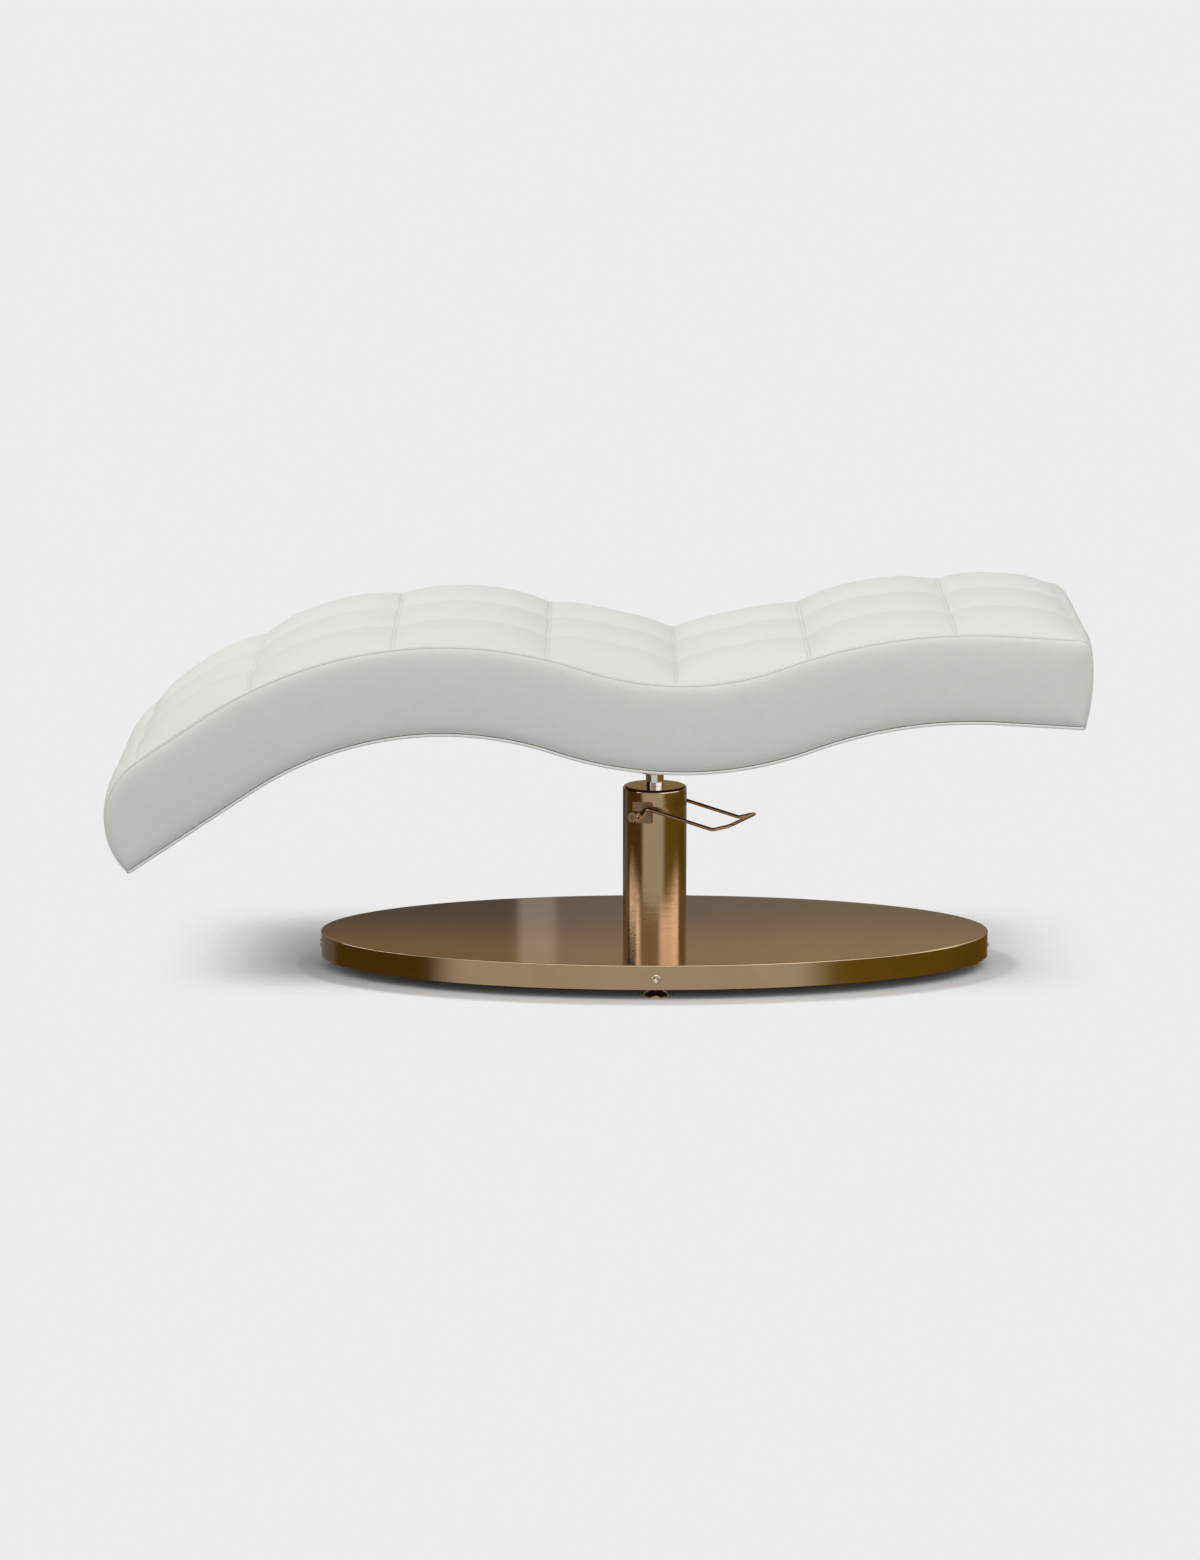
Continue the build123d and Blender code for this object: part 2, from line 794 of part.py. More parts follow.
with BuildPart() as pedal_loop:
    with BuildLine() as loop_path:
        FilletPolyline(*[pedal_point(*p) for p in near_half + far_half], radius=bends + bends[::-1])
    with BuildSketch(Plane(origin=loop_path.line @ 0, z_dir=loop_path.line % 0)):
        Circle(loop_wire)
    sweep()
    for side in (1, -1):
        with BuildSketch(shaft_plane(collar_start - running_gap, side)):
            Circle(collar_radius * 2)
        extrude(amount=loop_wire * 2, mode=Mode.SUBTRACT)

# Turntable

with BuildPart() as socket_hub:
    with BuildSketch(level(hub_bottom)):
        Circle(hub_radius)
    extrude(amount=hub_height)
    for turn in (0, 90):
        across = (sin(radians(turn)), -cos(radians(turn)), 0)
        upright_web = Plane(
            origin=(column_x, 0, turntable_bottom),
            x_dir=(cos(radians(turn)), sin(radians(turn)), 0),
            z_dir=across,
        )
        with BuildSketch(upright_web):
            with BuildLine():
                Polyline(
                    (-hub_radius - gusset_reach, 0),
                    (-hub_radius - gusset_reach, -gusset_foot),
                    (-hub_radius, -gusset_height),
                    (hub_radius, -gusset_height),
                    (hub_radius + gusset_reach, -gusset_foot),
                    (hub_radius + gusset_reach, 0),
                    close=True,
                )
            make_face()
        extrude(amount=gusset_thickness / 2, both=True)
    with BuildSketch(level(hub_bottom)):
        Circle(journal_radius + running_gap)
    extrude(amount=hub_height, mode=Mode.SUBTRACT)

with BuildPart() as mounting_plate:
    with BuildSketch(level(turntable_bottom)):
        RectangleRounded(turntable_size, turntable_size, turntable_corner)
        Circle(journal_radius + seat_gap, mode=Mode.SUBTRACT)
        with GridLocations(turntable_bolt_spacing, turntable_bolt_spacing, 2, 2):
            Circle(turntable_bolt_radius + layer_gap, mode=Mode.SUBTRACT)
    extrude(amount=turntable_thickness)

with BuildPart() as mount_bolts:
    with BuildSketch(level(turntable_bottom)):
        with GridLocations(turntable_bolt_spacing, turntable_bolt_spacing, 2, 2):
            RegularPolygon(bolt_head_width / 2, 6, major_radius=False)
    extrude(amount=-bolt_head_height)
    with BuildSketch(level(turntable_bottom)):
        with GridLocations(turntable_bolt_spacing, turntable_bolt_spacing, 2, 2):
            Circle(turntable_bolt_radius)
    extrude(amount=turntable_bolt_length)

# Timber frame

half_bed = bed_width / 2
side_inside = half_bed - side_depth
body_floor = welt_radius * 2 - half_thickness
deck_half = deck_thickness / 2
rib_top = -deck_half
rib_middle = (rib_top + body_floor) / 2
foot_inside = -(nose_start + nose_radius - skin_depth - end_foam)
head_inside = head_station - skin_depth - end_foam
rib_foot = foot_inside + layer_gap
rib_head = head_inside - layer_gap
rail_stations = {
    "foot_end_rail": rib_foot + rail_thickness,
    "shin_rail": seam_distances[0],
    "knee_rail": seam_distances[1],
    "thigh_rail": seam_distances[2],
    "back_rail": seam_distances[4],
    "shoulder_rail": seam_distances[5],
    "head_end_rail": rib_head - rail_thickness,
}
outer_rib_place = side_inside - layer_gap - rib_thickness / 2
rib_places = {
    "near_outer_rib": -outer_rib_place,
    "near_inner_rib": -inner_rib_place,
    "far_inner_rib": inner_rib_place,
    "far_outer_rib": outer_rib_place,
}
inner_gap = inner_rib_place - rib_thickness / 2 - layer_gap


def station_plane(station, offset=0):
    """A plane across the bed at a station: its X runs across and its Y points out of the top."""
    (x, z), heading = wave_at(station, offset)
    ahead = (cos(heading), 0, sin(heading))
    return Plane(origin=(column_x + x, 0, z), x_dir=(0, 1, 0), z_dir=ahead)


def draw_band(low, high, start, end):
    """Draw a closed strip of the wave between two offsets and two stations."""
    draw_wave(high, start, end)
    Line(wave_at(end, high)[0], wave_at(end, low)[0])
    draw_wave(low, end, start)
    Line(wave_at(start, low)[0], wave_at(start, high)[0])


with BuildPart() as deck_panel:
    with BuildSketch(upright(side_inside - layer_gap)):
        with BuildLine():
            draw_band(-deck_half, deck_half, foot_inside + layer_gap, head_inside - layer_gap)
        make_face()
    extrude(amount=(side_inside - layer_gap) * 2)

ribs = {}
for name, place in rib_places.items():
    with BuildPart() as rib:
        with BuildSketch(upright(place + rib_thickness / 2)):
            with BuildLine():
                draw_band(body_floor, rib_top, rib_foot, rib_head)
            make_face()
        extrude(amount=rib_thickness)
        if "inner" in name:
            for station in rail_stations.values():
                with BuildSketch(station_plane(station)):
                    with Locations((place, (rib_top + rib_middle) / 2 + overrun / 2)):
                        Rectangle(rib_thickness * 2, rib_top - rib_middle + overrun)
                extrude(amount=rail_thickness / 2 + layer_gap, both=True, mode=Mode.SUBTRACT)
    ribs[name] = rib

rails = {}
rail_low = body_floor + rail_skirt
rail_top = rib_top - layer_gap
rail_half = outer_rib_place - rib_thickness / 2 - layer_gap
notch_width = rib_thickness + layer_gap * 2
for name, station in rail_stations.items():
    with BuildPart() as rail:
        with BuildSketch(station_plane(station)):
            with Locations((0, (rail_low + rail_top) / 2)):
                Rectangle(rail_half * 2, rail_top - rail_low)
            with Locations((inner_rib_place, rail_low), (-inner_rib_place, rail_low)):
                Rectangle(notch_width, (rib_middle - rail_low) * 2, mode=Mode.SUBTRACT)
        extrude(amount=rail_thickness / 2, both=True)
    rails[name] = rail

with BuildPart() as mount_block:
    with BuildSketch(level(mount_height)):
        Rectangle(mount_block_length, inner_gap * 2)
        with GridLocations(turntable_bolt_spacing, turntable_bolt_spacing, 2, 2):
            Circle(turntable_bolt_radius + running_gap, mode=Mode.SUBTRACT)
    extrude(amount=bed_thickness)
    with BuildSketch(upright(half_bed)):
        with BuildLine():
            draw_band(rib_top - block_top_gap, bed_thickness * 2, foot_joints[0], head_joints[0])
        make_face()
    extrude(amount=bed_width, mode=Mode.SUBTRACT)
    with BuildSketch(level(mount_height)):
        Circle(block_pocket_radius)
    extrude(amount=block_pocket_depth, mode=Mode.SUBTRACT)

# Upholstery

with BuildPart() as foam_core:
    with BuildSketch(upright(side_inside - layer_gap)):
        with BuildLine():
            draw_outline(skin_depth + layer_gap, body_floor)
        make_face()
        with BuildLine():
            draw_band(body_floor - overrun, deck_half + layer_gap, foot_inside, head_inside)
        make_face(mode=Mode.SUBTRACT)
    extrude(amount=(side_inside - layer_gap) * 2)

side_bands = {}
for name, place in {"near_side_band": -side_inside, "far_side_band": half_bed}.items():
    with BuildPart() as side_band:
        with BuildSketch(upright(place)):
            with BuildLine():
                draw_outline(skin_depth, body_floor)
            make_face()
        extrude(amount=side_depth)
    side_bands[name] = side_band

with BuildPart() as underside_cover:
    with BuildSketch(upright(half_bed - welt_radius * 2 - layer_gap)):
        with BuildLine():
            draw_band(
                body_floor - under_thickness,
                body_floor,
                floor_station(nose_centre, nose_radius, body_floor) + welt_radius * 3,
                floor_station(bulge_centre, head_bulge_radius, body_floor) - welt_radius * 3,
            )
        make_face()
    extrude(amount=(half_bed - welt_radius * 2 - layer_gap) * 2)
    with BuildSketch(level(mount_height)):
        Rectangle(mount_block_length + overrun, inner_gap * 2 + overrun)
    extrude(amount=bed_thickness, mode=Mode.SUBTRACT)


def tuft_face(plane, crown, middle, channel):
    """A section across the quilted top: three arcs over a flat bottom that is sunk in the body."""
    third = half_bed / 3
    sunk = -skin_depth * 2
    with BuildSketch(plane) as section:
        with BuildLine():
            ThreePointArc((-half_bed, 0), (-third * 2, crown), (-third, channel))
            ThreePointArc((-third, channel), (0, middle), (third, channel))
            ThreePointArc((third, channel), (third * 2, crown), (half_bed, 0))
            Polyline((half_bed, 0), (half_bed, sunk), (-half_bed, sunk), (-half_bed, 0))
        make_face()
    return section.sketch


def round_plane(centre, angle, radius):
    """A plane across the skin where it goes round one of the ends."""
    x, z = round_at(centre, angle, radius)
    heading = wave_at(centre[0] + radius * sin(radians(angle)))[1] - radians(angle)
    return Plane(origin=(column_x + x, 0, z), x_dir=(0, 1, 0), z_dir=(cos(heading), 0, sin(heading)))


def mix(share, low, high):
    """Values between two sets, by their share of the way."""
    return [a + (b - a) * share for a, b in zip(low, high)]


def along(share, first, last):
    """A value between two others, by its share of the way."""
    return first + (last - first) * share


seam_heights = (seam_crown, seam_middle, seam_channel)
nose_heights = (nose_crown, nose_crown, nose_channel)
bend_heights = (bend_crown, bend_crown, bend_channel)
end_heights = (end_crown, end_crown, end_channel)
seams = [nose_station, *seam_distances]
nose_fall = fall_angle(nose_centre, nose_radius, body_floor) + end_overlap
end_fall = fall_angle(bulge_centre, head_bulge_radius, body_floor) + end_overlap / 3

# Places along each tuft with the share of its full height there
cell_shares = ((0, 0), (0.1, 0.4), (0.3, 0.86), (0.5, 1), (0.7, 0.86), (0.9, 0.4), (1, 0))
nose_shares = ((0, 0), (0.25, 0.5), (0.5, 0.9), (0.7, 1))
nose_seam_shares = ((0.9, 0.45), (1, 0))
head_shares = ((0, 0), (0.1, 0.4), (0.3, 0.86), (0.5, 1))
head_bend_shares = ((0.75, 0.7), (1, 0))
bend_shares = (0, 0.5, 1)


def chord_rise(ends):
    """How far a straight line between two stations passes above the skin's foundation midway."""
    (first_x, first_z), (last_x, last_z) = [wave_at(end, half_thickness)[0] for end in ends]
    (x, z), heading = wave_at(sum(ends) / 2, half_thickness)
    return ((first_z + last_z) / 2 - z) * cos(heading) - ((first_x + last_x) / 2 - x) * sin(heading)


def row_section(share, rise, ends, low):
    """A section of a tuft along the wave: its plane and its heights, as its cover spans the wave."""
    span = chord_rise(ends) * bridge_share
    high = [height + span for height in (tuft_crown, tuft_middle, tuft_channel)]
    return station_plane(along(share, *ends), half_thickness), mix(rise, low, high)


def nose_section(share, rise, low, high):
    """A section of the tuft that goes round the nose: its plane and its heights."""
    return round_plane(nose_centre, -nose_fall * (1 - share), nose_radius), mix(rise, low, high)


skin_cells = []
for ends in zip(seams, seams[1:]):
    skin_cells.append([row_section(*place, ends, seam_heights) for place in cell_shares])
skin_cells.append(
    [nose_section(*place, end_heights, nose_heights) for place in nose_shares]
    + [nose_section(*place, seam_heights, nose_heights) for place in nose_seam_shares]
)
ends = (seams[-1], corner_centre[0])
skin_cells.append(
    [row_section(*place, ends, seam_heights) for place in head_shares]
    + [row_section(*place, ends, bend_heights) for place in head_bend_shares]
)
corner_planes = [round_plane(corner_centre, corner_sweep * share, head_corner) for share in bend_shares]
skin_cells.append([(plane, bend_heights) for plane in corner_planes])
skin_cells.append([
    (
        round_plane(bulge_centre, along(share, corner_sweep, end_fall), head_bulge_radius),
        mix(share, bend_heights, end_heights),
    )
    for share in bend_shares
])

cells = []
for sections in skin_cells:
    with BuildPart() as cell:
        loft(sections=[tuft_face(plane, *heights) for plane, heights in sections])
    cells.append(cell.part)

with BuildPart() as quilted_top:
    for cell in cells:
        add(cell)
    with BuildSketch(upright(half_bed + overrun)):
        with BuildLine():
            draw_outline(skin_depth, body_floor)
        make_face()
        with BuildLine():
            past_ends = (nose_station - nose_radius * 2, head_station + bed_thickness)
            draw_band(-bed_thickness, body_floor, *past_ends)
        make_face()
    extrude(amount=bed_width + overrun * 2, mode=Mode.SUBTRACT)

welt_offset = body_floor - welt_radius
welt_foot = floor_station(nose_centre, nose_radius, body_floor) + welt_radius
welt_head = floor_station(bulge_centre, head_bulge_radius, body_floor) - welt_radius
welt_half = half_bed - welt_radius

with BuildPart() as bottom_welt:
    for place in (-welt_half, welt_half):
        with BuildLine(upright(place)) as welt_path:
            draw_wave(welt_offset, welt_foot - welt_radius, welt_head + welt_radius)
        with BuildSketch(Plane(origin=welt_path.line @ 0, z_dir=welt_path.line % 0)):
            Circle(welt_radius)
        sweep(path=welt_path.line)
    for station in (welt_foot, welt_head):
        with BuildSketch(upright(welt_half - welt_radius - layer_gap)):
            with Locations(wave_at(station, welt_offset)[0]):
                Circle(welt_radius)
        extrude(amount=(welt_half - welt_radius - layer_gap) * 2)

pieces = {
    "base_cover": base_cover,
    "base_plate": base_plate,
    "cover_frame": cover_frame,
    "rim_blocks": rim_blocks,
    "rim_screws": rim_screws,
    **feet,
    "foot_locknuts": foot_locknuts,
    "foot_bosses": foot_bosses,
    "column_flange": column_flange,
    "flange_bolts": flange_bolts,
    "column_shroud": column_shroud,
    "bearing_pads": bearing_pads,
    "shaft_bushes": shaft_bushes,
    "pump_foot": pump_foot,
    "reservoir_tube": reservoir_tube,
    "reservoir_lid": reservoir_lid,
    "pump_cylinder": pump_cylinder,
    "cylinder_gland": cylinder_gland,
    "rod_wiper": rod_wiper,
    "pump_barrel": pump_barrel,
    "pump_plunger": pump_plunger,
    "return_spring": return_spring,
    "piston_head": piston_head,
    "piston_rings": piston_rings,
    "piston_nut": piston_nut,
    "piston_rod": piston_rod,
    "thrust_washer": thrust_washer,
    "retaining_washer": retaining_washer,
    "retaining_screw": retaining_screw,
    "stub_shafts": stub_shafts,
    "shaft_collars": shaft_collars,
    "collar_screws": collar_screws,
    "rocker_arm": rocker_arm,
    "pedal_loop": pedal_loop,
    "socket_hub": socket_hub,
    "mounting_plate": mounting_plate,
    "mount_bolts": mount_bolts,
    "deck_panel": deck_panel,
    **ribs,
    **rails,
    "mount_block": mount_block,
    "foam_core": foam_core,
    **side_bands,
    "underside_cover": underside_cover,
    "quilted_top": quilted_top,
    "bottom_welt": bottom_welt,
}
os.makedirs("parts", exist_ok=True)
for name, piece in pieces.items():
    piece.part.label = name
    export_step(piece.part, f"parts/{name}.step")
print(len(pieces), "pieces; the column stands at X", round(column_x, 4))
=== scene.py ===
"""The looks of a wave-shaped treatment bed on an oval pedestal.

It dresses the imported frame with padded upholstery, sewn seams, piping and metal finishes, then
sets up a plain studio. Laid out as an add-on and run as a script. Metres, +Z up, +X towards the
head end.
"""
import json
from math import asin, cos, pi, radians, sin, sqrt

import bmesh
import bpy
import numpy as np
from mathutils import Matrix, Vector

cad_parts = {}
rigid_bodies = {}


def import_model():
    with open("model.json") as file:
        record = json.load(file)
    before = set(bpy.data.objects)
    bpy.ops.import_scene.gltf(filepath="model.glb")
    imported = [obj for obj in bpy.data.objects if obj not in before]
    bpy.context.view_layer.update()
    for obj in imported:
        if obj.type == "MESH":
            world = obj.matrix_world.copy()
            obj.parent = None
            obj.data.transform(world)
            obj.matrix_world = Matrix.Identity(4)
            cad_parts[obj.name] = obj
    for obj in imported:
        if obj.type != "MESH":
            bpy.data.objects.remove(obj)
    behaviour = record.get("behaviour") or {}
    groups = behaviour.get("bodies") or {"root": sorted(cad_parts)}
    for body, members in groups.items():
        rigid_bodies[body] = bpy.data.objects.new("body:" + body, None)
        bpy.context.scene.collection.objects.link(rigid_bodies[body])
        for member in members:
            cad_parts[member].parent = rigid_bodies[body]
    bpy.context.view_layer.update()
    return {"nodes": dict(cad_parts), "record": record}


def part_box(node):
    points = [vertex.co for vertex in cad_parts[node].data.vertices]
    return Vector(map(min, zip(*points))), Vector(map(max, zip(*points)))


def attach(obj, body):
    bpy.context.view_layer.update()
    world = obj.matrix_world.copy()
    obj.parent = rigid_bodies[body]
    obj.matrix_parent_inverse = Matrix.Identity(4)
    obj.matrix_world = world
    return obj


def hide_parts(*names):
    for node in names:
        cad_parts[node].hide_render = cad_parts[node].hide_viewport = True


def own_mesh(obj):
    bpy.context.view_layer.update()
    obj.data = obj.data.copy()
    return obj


bl_info = {
    "name": "Treatment Bed Looks",
    "version": (1, 0, 0),
    "blender": (4, 5, 0),
    "location": "View3D > Sidebar > Treatment Bed",
    "description": "Upholstery, trim, metal finishes and studio for a wave-shaped treatment bed",
    "category": "Object",
}

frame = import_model()
MM = 0.001


# Wave of the bed, in the upright plane through its middle

rod_low, rod_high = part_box("piston_rod")
COLUMN_X = (rod_low.x + rod_high.x) / 2
BED_WIDTH = 700 * MM
BED_THICKNESS = 171 * MM
DIP = (50 * MM, 523.8 * MM)
HEAD_STRETCHES = ((625 * MM, radians(20.1)), (-960 * MM, radians(23.5)))
FOOT_STRETCHES = ((685 * MM, radians(18.5)), (-735 * MM, radians(52)))
HEAD_RUN = 159 * MM
NOSE_RADIUS = 136 * MM
NOSE_STATION = -1037.7 * MM
CORNER_RADIUS = 22 * MM
BULGE_RADIUS = 380 * MM
BULGE_OFFSET = -5 * MM
SEAMS = [NOSE_STATION, *(s * MM for s in (-796.0, -543.0, -283.2, -15.1, 268.7, 522.3))]

HALF_BED = BED_WIDTH / 2
COVER_EDGE = HALF_BED - 1.5 * MM
THIRD = HALF_BED / 3
CREASES = [-THIRD, THIRD]
HALF_THICKNESS = BED_THICKNESS / 2
FLOOR_OFFSET = 6 * MM - HALF_THICKNESS
HEAD_STATION = sum(abs(radius) * turn for radius, turn in HEAD_STRETCHES) + HEAD_RUN
NOSE_CENTRE = (NOSE_STATION, HALF_THICKNESS - NOSE_RADIUS)
CORNER_CENTRE = (HEAD_STATION - CORNER_RADIUS, HALF_THICKNESS - CORNER_RADIUS)
CORNER_RISE = CORNER_CENTRE[1] - BULGE_OFFSET
BULGE_REACH = sqrt((BULGE_RADIUS - CORNER_RADIUS) ** 2 - CORNER_RISE ** 2)
BULGE_CENTRE = (CORNER_CENTRE[0] - BULGE_REACH, BULGE_OFFSET)
CORNER_SWEEP = pi / 2 - asin(CORNER_RISE / (BULGE_RADIUS - CORNER_RADIUS))
NOSE_FALL = pi / 2 + asin((NOSE_CENTRE[1] - FLOOR_OFFSET) / NOSE_RADIUS)
BULGE_FALL = pi / 2 + asin((BULGE_CENTRE[1] - FLOOR_OFFSET) / BULGE_RADIUS)
CORNER_END = CORNER_CENTRE[0] + CORNER_RADIUS * CORNER_SWEEP
SKIN_FOOT = NOSE_STATION - NOSE_RADIUS * NOSE_FALL
SKIN_HEAD = CORNER_END + BULGE_RADIUS * (BULGE_FALL - CORNER_SWEEP)
FLOOR_FOOT = NOSE_CENTRE[0] - sqrt(NOSE_RADIUS ** 2 - (NOSE_CENTRE[1] - FLOOR_OFFSET) ** 2)
FLOOR_HEAD = BULGE_CENTRE[0] + sqrt(BULGE_RADIUS ** 2 - (BULGE_CENTRE[1] - FLOOR_OFFSET) ** 2)


def wave_line(station):
    """Point and heading of the wave's middle line at a distance along it from the dip."""
    x, z, heading = *DIP, 0
    forward = 1 if station > 0 else -1
    left = abs(station)
    for radius, turn in HEAD_STRETCHES if station > 0 else FOOT_STRETCHES:
        step = min(abs(radius) * turn, left)
        turned = heading + forward * step / radius
        x += radius * (sin(turned) - sin(heading))
        z -= radius * (cos(turned) - cos(heading))
        heading = turned
        left -= step
    x += forward * left * cos(heading)
    z += forward * left * sin(heading)
    return x + COLUMN_X, z, heading


def wave_point(station, offset):
    """Point at an offset above the wave's middle line."""
    x, z, heading = wave_line(station)
    return x - offset * sin(heading), z + offset * cos(heading)


def skin_place(reach):
    """Station, offset and lean of the skin's foundation, by its reach along the outline."""
    if reach < NOSE_STATION:
        lean = (reach - NOSE_STATION) / NOSE_RADIUS
        centre, radius = NOSE_CENTRE, NOSE_RADIUS
    elif reach <= CORNER_CENTRE[0]:
        return reach, HALF_THICKNESS, 0
    elif reach <= CORNER_END:
        lean = (reach - CORNER_CENTRE[0]) / CORNER_RADIUS
        centre, radius = CORNER_CENTRE, CORNER_RADIUS
    else:
        lean = CORNER_SWEEP + (reach - CORNER_END) / BULGE_RADIUS
        centre, radius = BULGE_CENTRE, BULGE_RADIUS
    return centre[0] + radius * sin(lean), centre[1] + radius * cos(lean), lean


def skin_line(reach):
    """Point of the skin's foundation and the way out of it, by its reach along the outline."""
    station, offset, lean = skin_place(reach)
    x, z = wave_point(station, offset)
    heading = wave_line(station)[2] - lean
    return np.array((x, 0, z)), np.array((-sin(heading), 0, cos(heading)))


# Settings


def length_of(name, millimetres, description):
    """A setting for a length."""
    return bpy.props.FloatProperty(
        name=name, description=description, default=millimetres * MM, unit="LENGTH")


def level_of(name, default, description, **more):
    """A setting for a plain number."""
    return bpy.props.FloatProperty(name=name, description=description, default=default, **more)


def colour_of(name, default, description):
    """A setting for a colour."""
    return bpy.props.FloatVectorProperty(
        name=name, description=description, default=default, subtype="COLOR", size=3,
        min=0, max=1)


def reach_of(name, default, description):
    """A setting for a reach along and across the bed."""
    return bpy.props.FloatVectorProperty(
        name=name, description=description, default=default, size=2, unit="LENGTH")


class UpholsterySizes(bpy.types.PropertyGroup):
    """Sizes of the padded top, the side panels and their sewing."""

    tuft_crown: length_of("Outer Tuft", 31, "Height of the outer rows over the side seams")
    tuft_middle: length_of("Middle Tuft", 32, "Height of the middle row over the side seams")
    tuft_channel: length_of("Channel", 19, "Height of the lengthwise channels at mid tuft")
    bridging: level_of("Bridging", 0.42, "How far a tuft follows the line between its seams",
                       min=0, max=1, subtype="FACTOR")
    seam_crown: length_of("Seam Height", 10, "Height of the rows where a cross seam holds them")
    seam_channel: length_of("Seam Channel", 6, "Height of the channels at a cross seam")
    nose_crown: length_of("Nose Tuft", 8.5, "Height of the padding round the foot end")
    bend_crown: length_of("Bend Height", 5, "Height of the padding over the head end's bend")
    end_swell: length_of("End Swell", 6, "Height of the padding halfway down the head end")
    end_crown: length_of("End Height", 4, "Height of the padding along the bottom of both ends")
    crease_depth: length_of("Crease Depth", 1.6, "Depth of the fine crease along each channel")
    air_pressure: level_of("Air Pressure", 12.0, "Pressure that lifts the cover between its seams")
    swell_cap: length_of("Swell Limit", 4, "Most that the pressure may lift the cover")
    settle_frames: bpy.props.IntProperty(
        name="Settling Frames", description="Frames over which the cover settles", default=20)
    skin_depth: length_of("Skin Depth", 6, "Thickness of the padded skin along its edges")
    groove_depth: length_of("Groove Depth", 1.8, "Depth of the groove that a row of stitches pulls")
    stitch_gap: length_of("Stitch Gap", 2.7, "Distance of a row of stitches from its cross seam")
    margin: length_of("Margin", 3.4, "Distance of the edge stitches from the edge of the top")
    stitch_pitch: length_of("Stitch Pitch", 4.6, "Distance from one stitch to the next")
    thread_radius: length_of("Thread", 0.4, "Radius of the sewing thread")
    side_round: length_of("Side Rounding", 8, "How far the side panels swell close to their seams")
    side_bulge: length_of("Side Bulge", 4.5, "How much further they swell towards their middle")
    bead_radius: length_of("Seam Bead", 1.1, "Radius of the rolled edge between top and sides")
    piping_radius: length_of("Piping", 2.9, "Radius of the piping along the bottom edge")


class HardwareSizes(bpy.types.PropertyGroup):
    """Sizes of the rim screws and the return spring."""

    head_depth: length_of("Head Depth", 3.2, "Thickness of a screw head under its rings")
    head_rise: length_of("Head Rise", 1.7, "How far a screw head stands out of the rim")
    socket_depth: length_of("Socket Depth", 2.2, "Depth of the cone in the middle of a screw head")
    spring_wire: length_of("Spring Wire", 0.7, "Radius of the return spring's wire")
    spring_stroke: length_of("Spring Stroke", 10.6, "How much the return spring shortens")
    spring_turns: bpy.props.IntProperty(
        name="Spring Turns", description="Turns of the return spring", default=4)


class FinishColours(bpy.types.PropertyGroup):
    """Colours of the finishes, as the light falls on them."""

    vinyl: colour_of("Vinyl", (0.80, 0.788, 0.752), "White upholstery")
    piping: colour_of("Piping", (0.86, 0.855, 0.835), "Piping along the bottom edge")
    thread: colour_of("Thread", (0.72, 0.72, 0.70), "Sewing thread")
    bronze: colour_of("Bronze", (0.54, 0.375, 0.22), "Brushed and tinted metal of the pedestal")
    nickel: colour_of("Screws", (0.68, 0.58, 0.43), "Plated metal of the screw heads")
    chrome: colour_of("Chrome", (0.82, 0.82, 0.83), "Polished lifting rod")


class StudioSettings(bpy.types.PropertyGroup):
    """Camera, floor and light of the plain studio."""

    camera_distance: length_of("Camera Distance", 11117, "From the camera to the point it looks at")
    camera_rise: level_of("Camera Rise", radians(10.77), "Angle of the camera above the horizon",
                          subtype="ANGLE")
    camera_lens: level_of("Lens", 132.2, "Focal length in millimetres")
    look_height: length_of("Look Height", 363.5, "Height of the point that the camera looks at")
    look_ahead: length_of("Look Ahead", -106.3, "Place of that point along the bed from the column")
    backdrop: colour_of("Backdrop", (0.838, 0.838, 0.838), "Plain pale background")
    floor_radius: length_of("Floor Radius", 1600, "How far the floor reaches")
    shadow_reach: reach_of("Shadow Reach", (0.95, 0.44), "How far the bed's soft shadow shows")
    close_reach: reach_of("Close Shadow", (0.75, 0.382), "How far the shadow at the base shows")
    room_light: level_of("Room Light", 0.65, "Level of the even light from above")
    side_light: level_of("Side Light", 0.15, "How much stronger the light is from the foot end")
    low_light: level_of("Low Light", 0.33, "Level of the even light from below")
    floor_shade: level_of("Floor Shade", 0.915, "Share of the light that the floor shows")
    floor_return: level_of("Floor Return", 0.4, "Share of the light that the floor sends back up")
    sun_strength: level_of("Overhead Light", 0.70, "Strength of the soft overhead light")
    front_power: level_of("Front Light", 9.5, "Power of the lamp before the head end", unit="POWER")
    back_power: level_of("Back Light", 9.5, "Power of the lamp behind the foot end", unit="POWER")


# Shared helpers


def deselect():
    """Leave nothing selected."""
    bpy.ops.object.select_all(action="DESELECT")


def mesh_piece(name, points, faces, smooth=True):
    """A new object with its mesh already in place."""
    mesh = bpy.data.meshes.new(name)
    mesh.from_pydata([tuple(p) for p in points], [], faces)
    mesh.validate()
    mesh.shade_smooth() if smooth else mesh.shade_flat()
    piece = bpy.data.objects.new(name, mesh)
    bpy.context.collection.objects.link(piece)
    return piece


def select_only(piece):
    """Leave just this piece selected and active."""
    deselect()
    piece.select_set(True)
    bpy.context.view_layer.objects.active = piece


def tidy_normals(piece, doubles=1e-5):
    """Merge doubles and turn every face outwards."""
    select_only(piece)
    bpy.ops.object.mode_set(mode="EDIT")
    bpy.ops.mesh.select_all(action="SELECT")
    bpy.ops.mesh.remove_doubles(threshold=doubles)
    bpy.ops.mesh.normals_make_consistent(inside=False)
    bpy.ops.object.mode_set(mode="OBJECT")


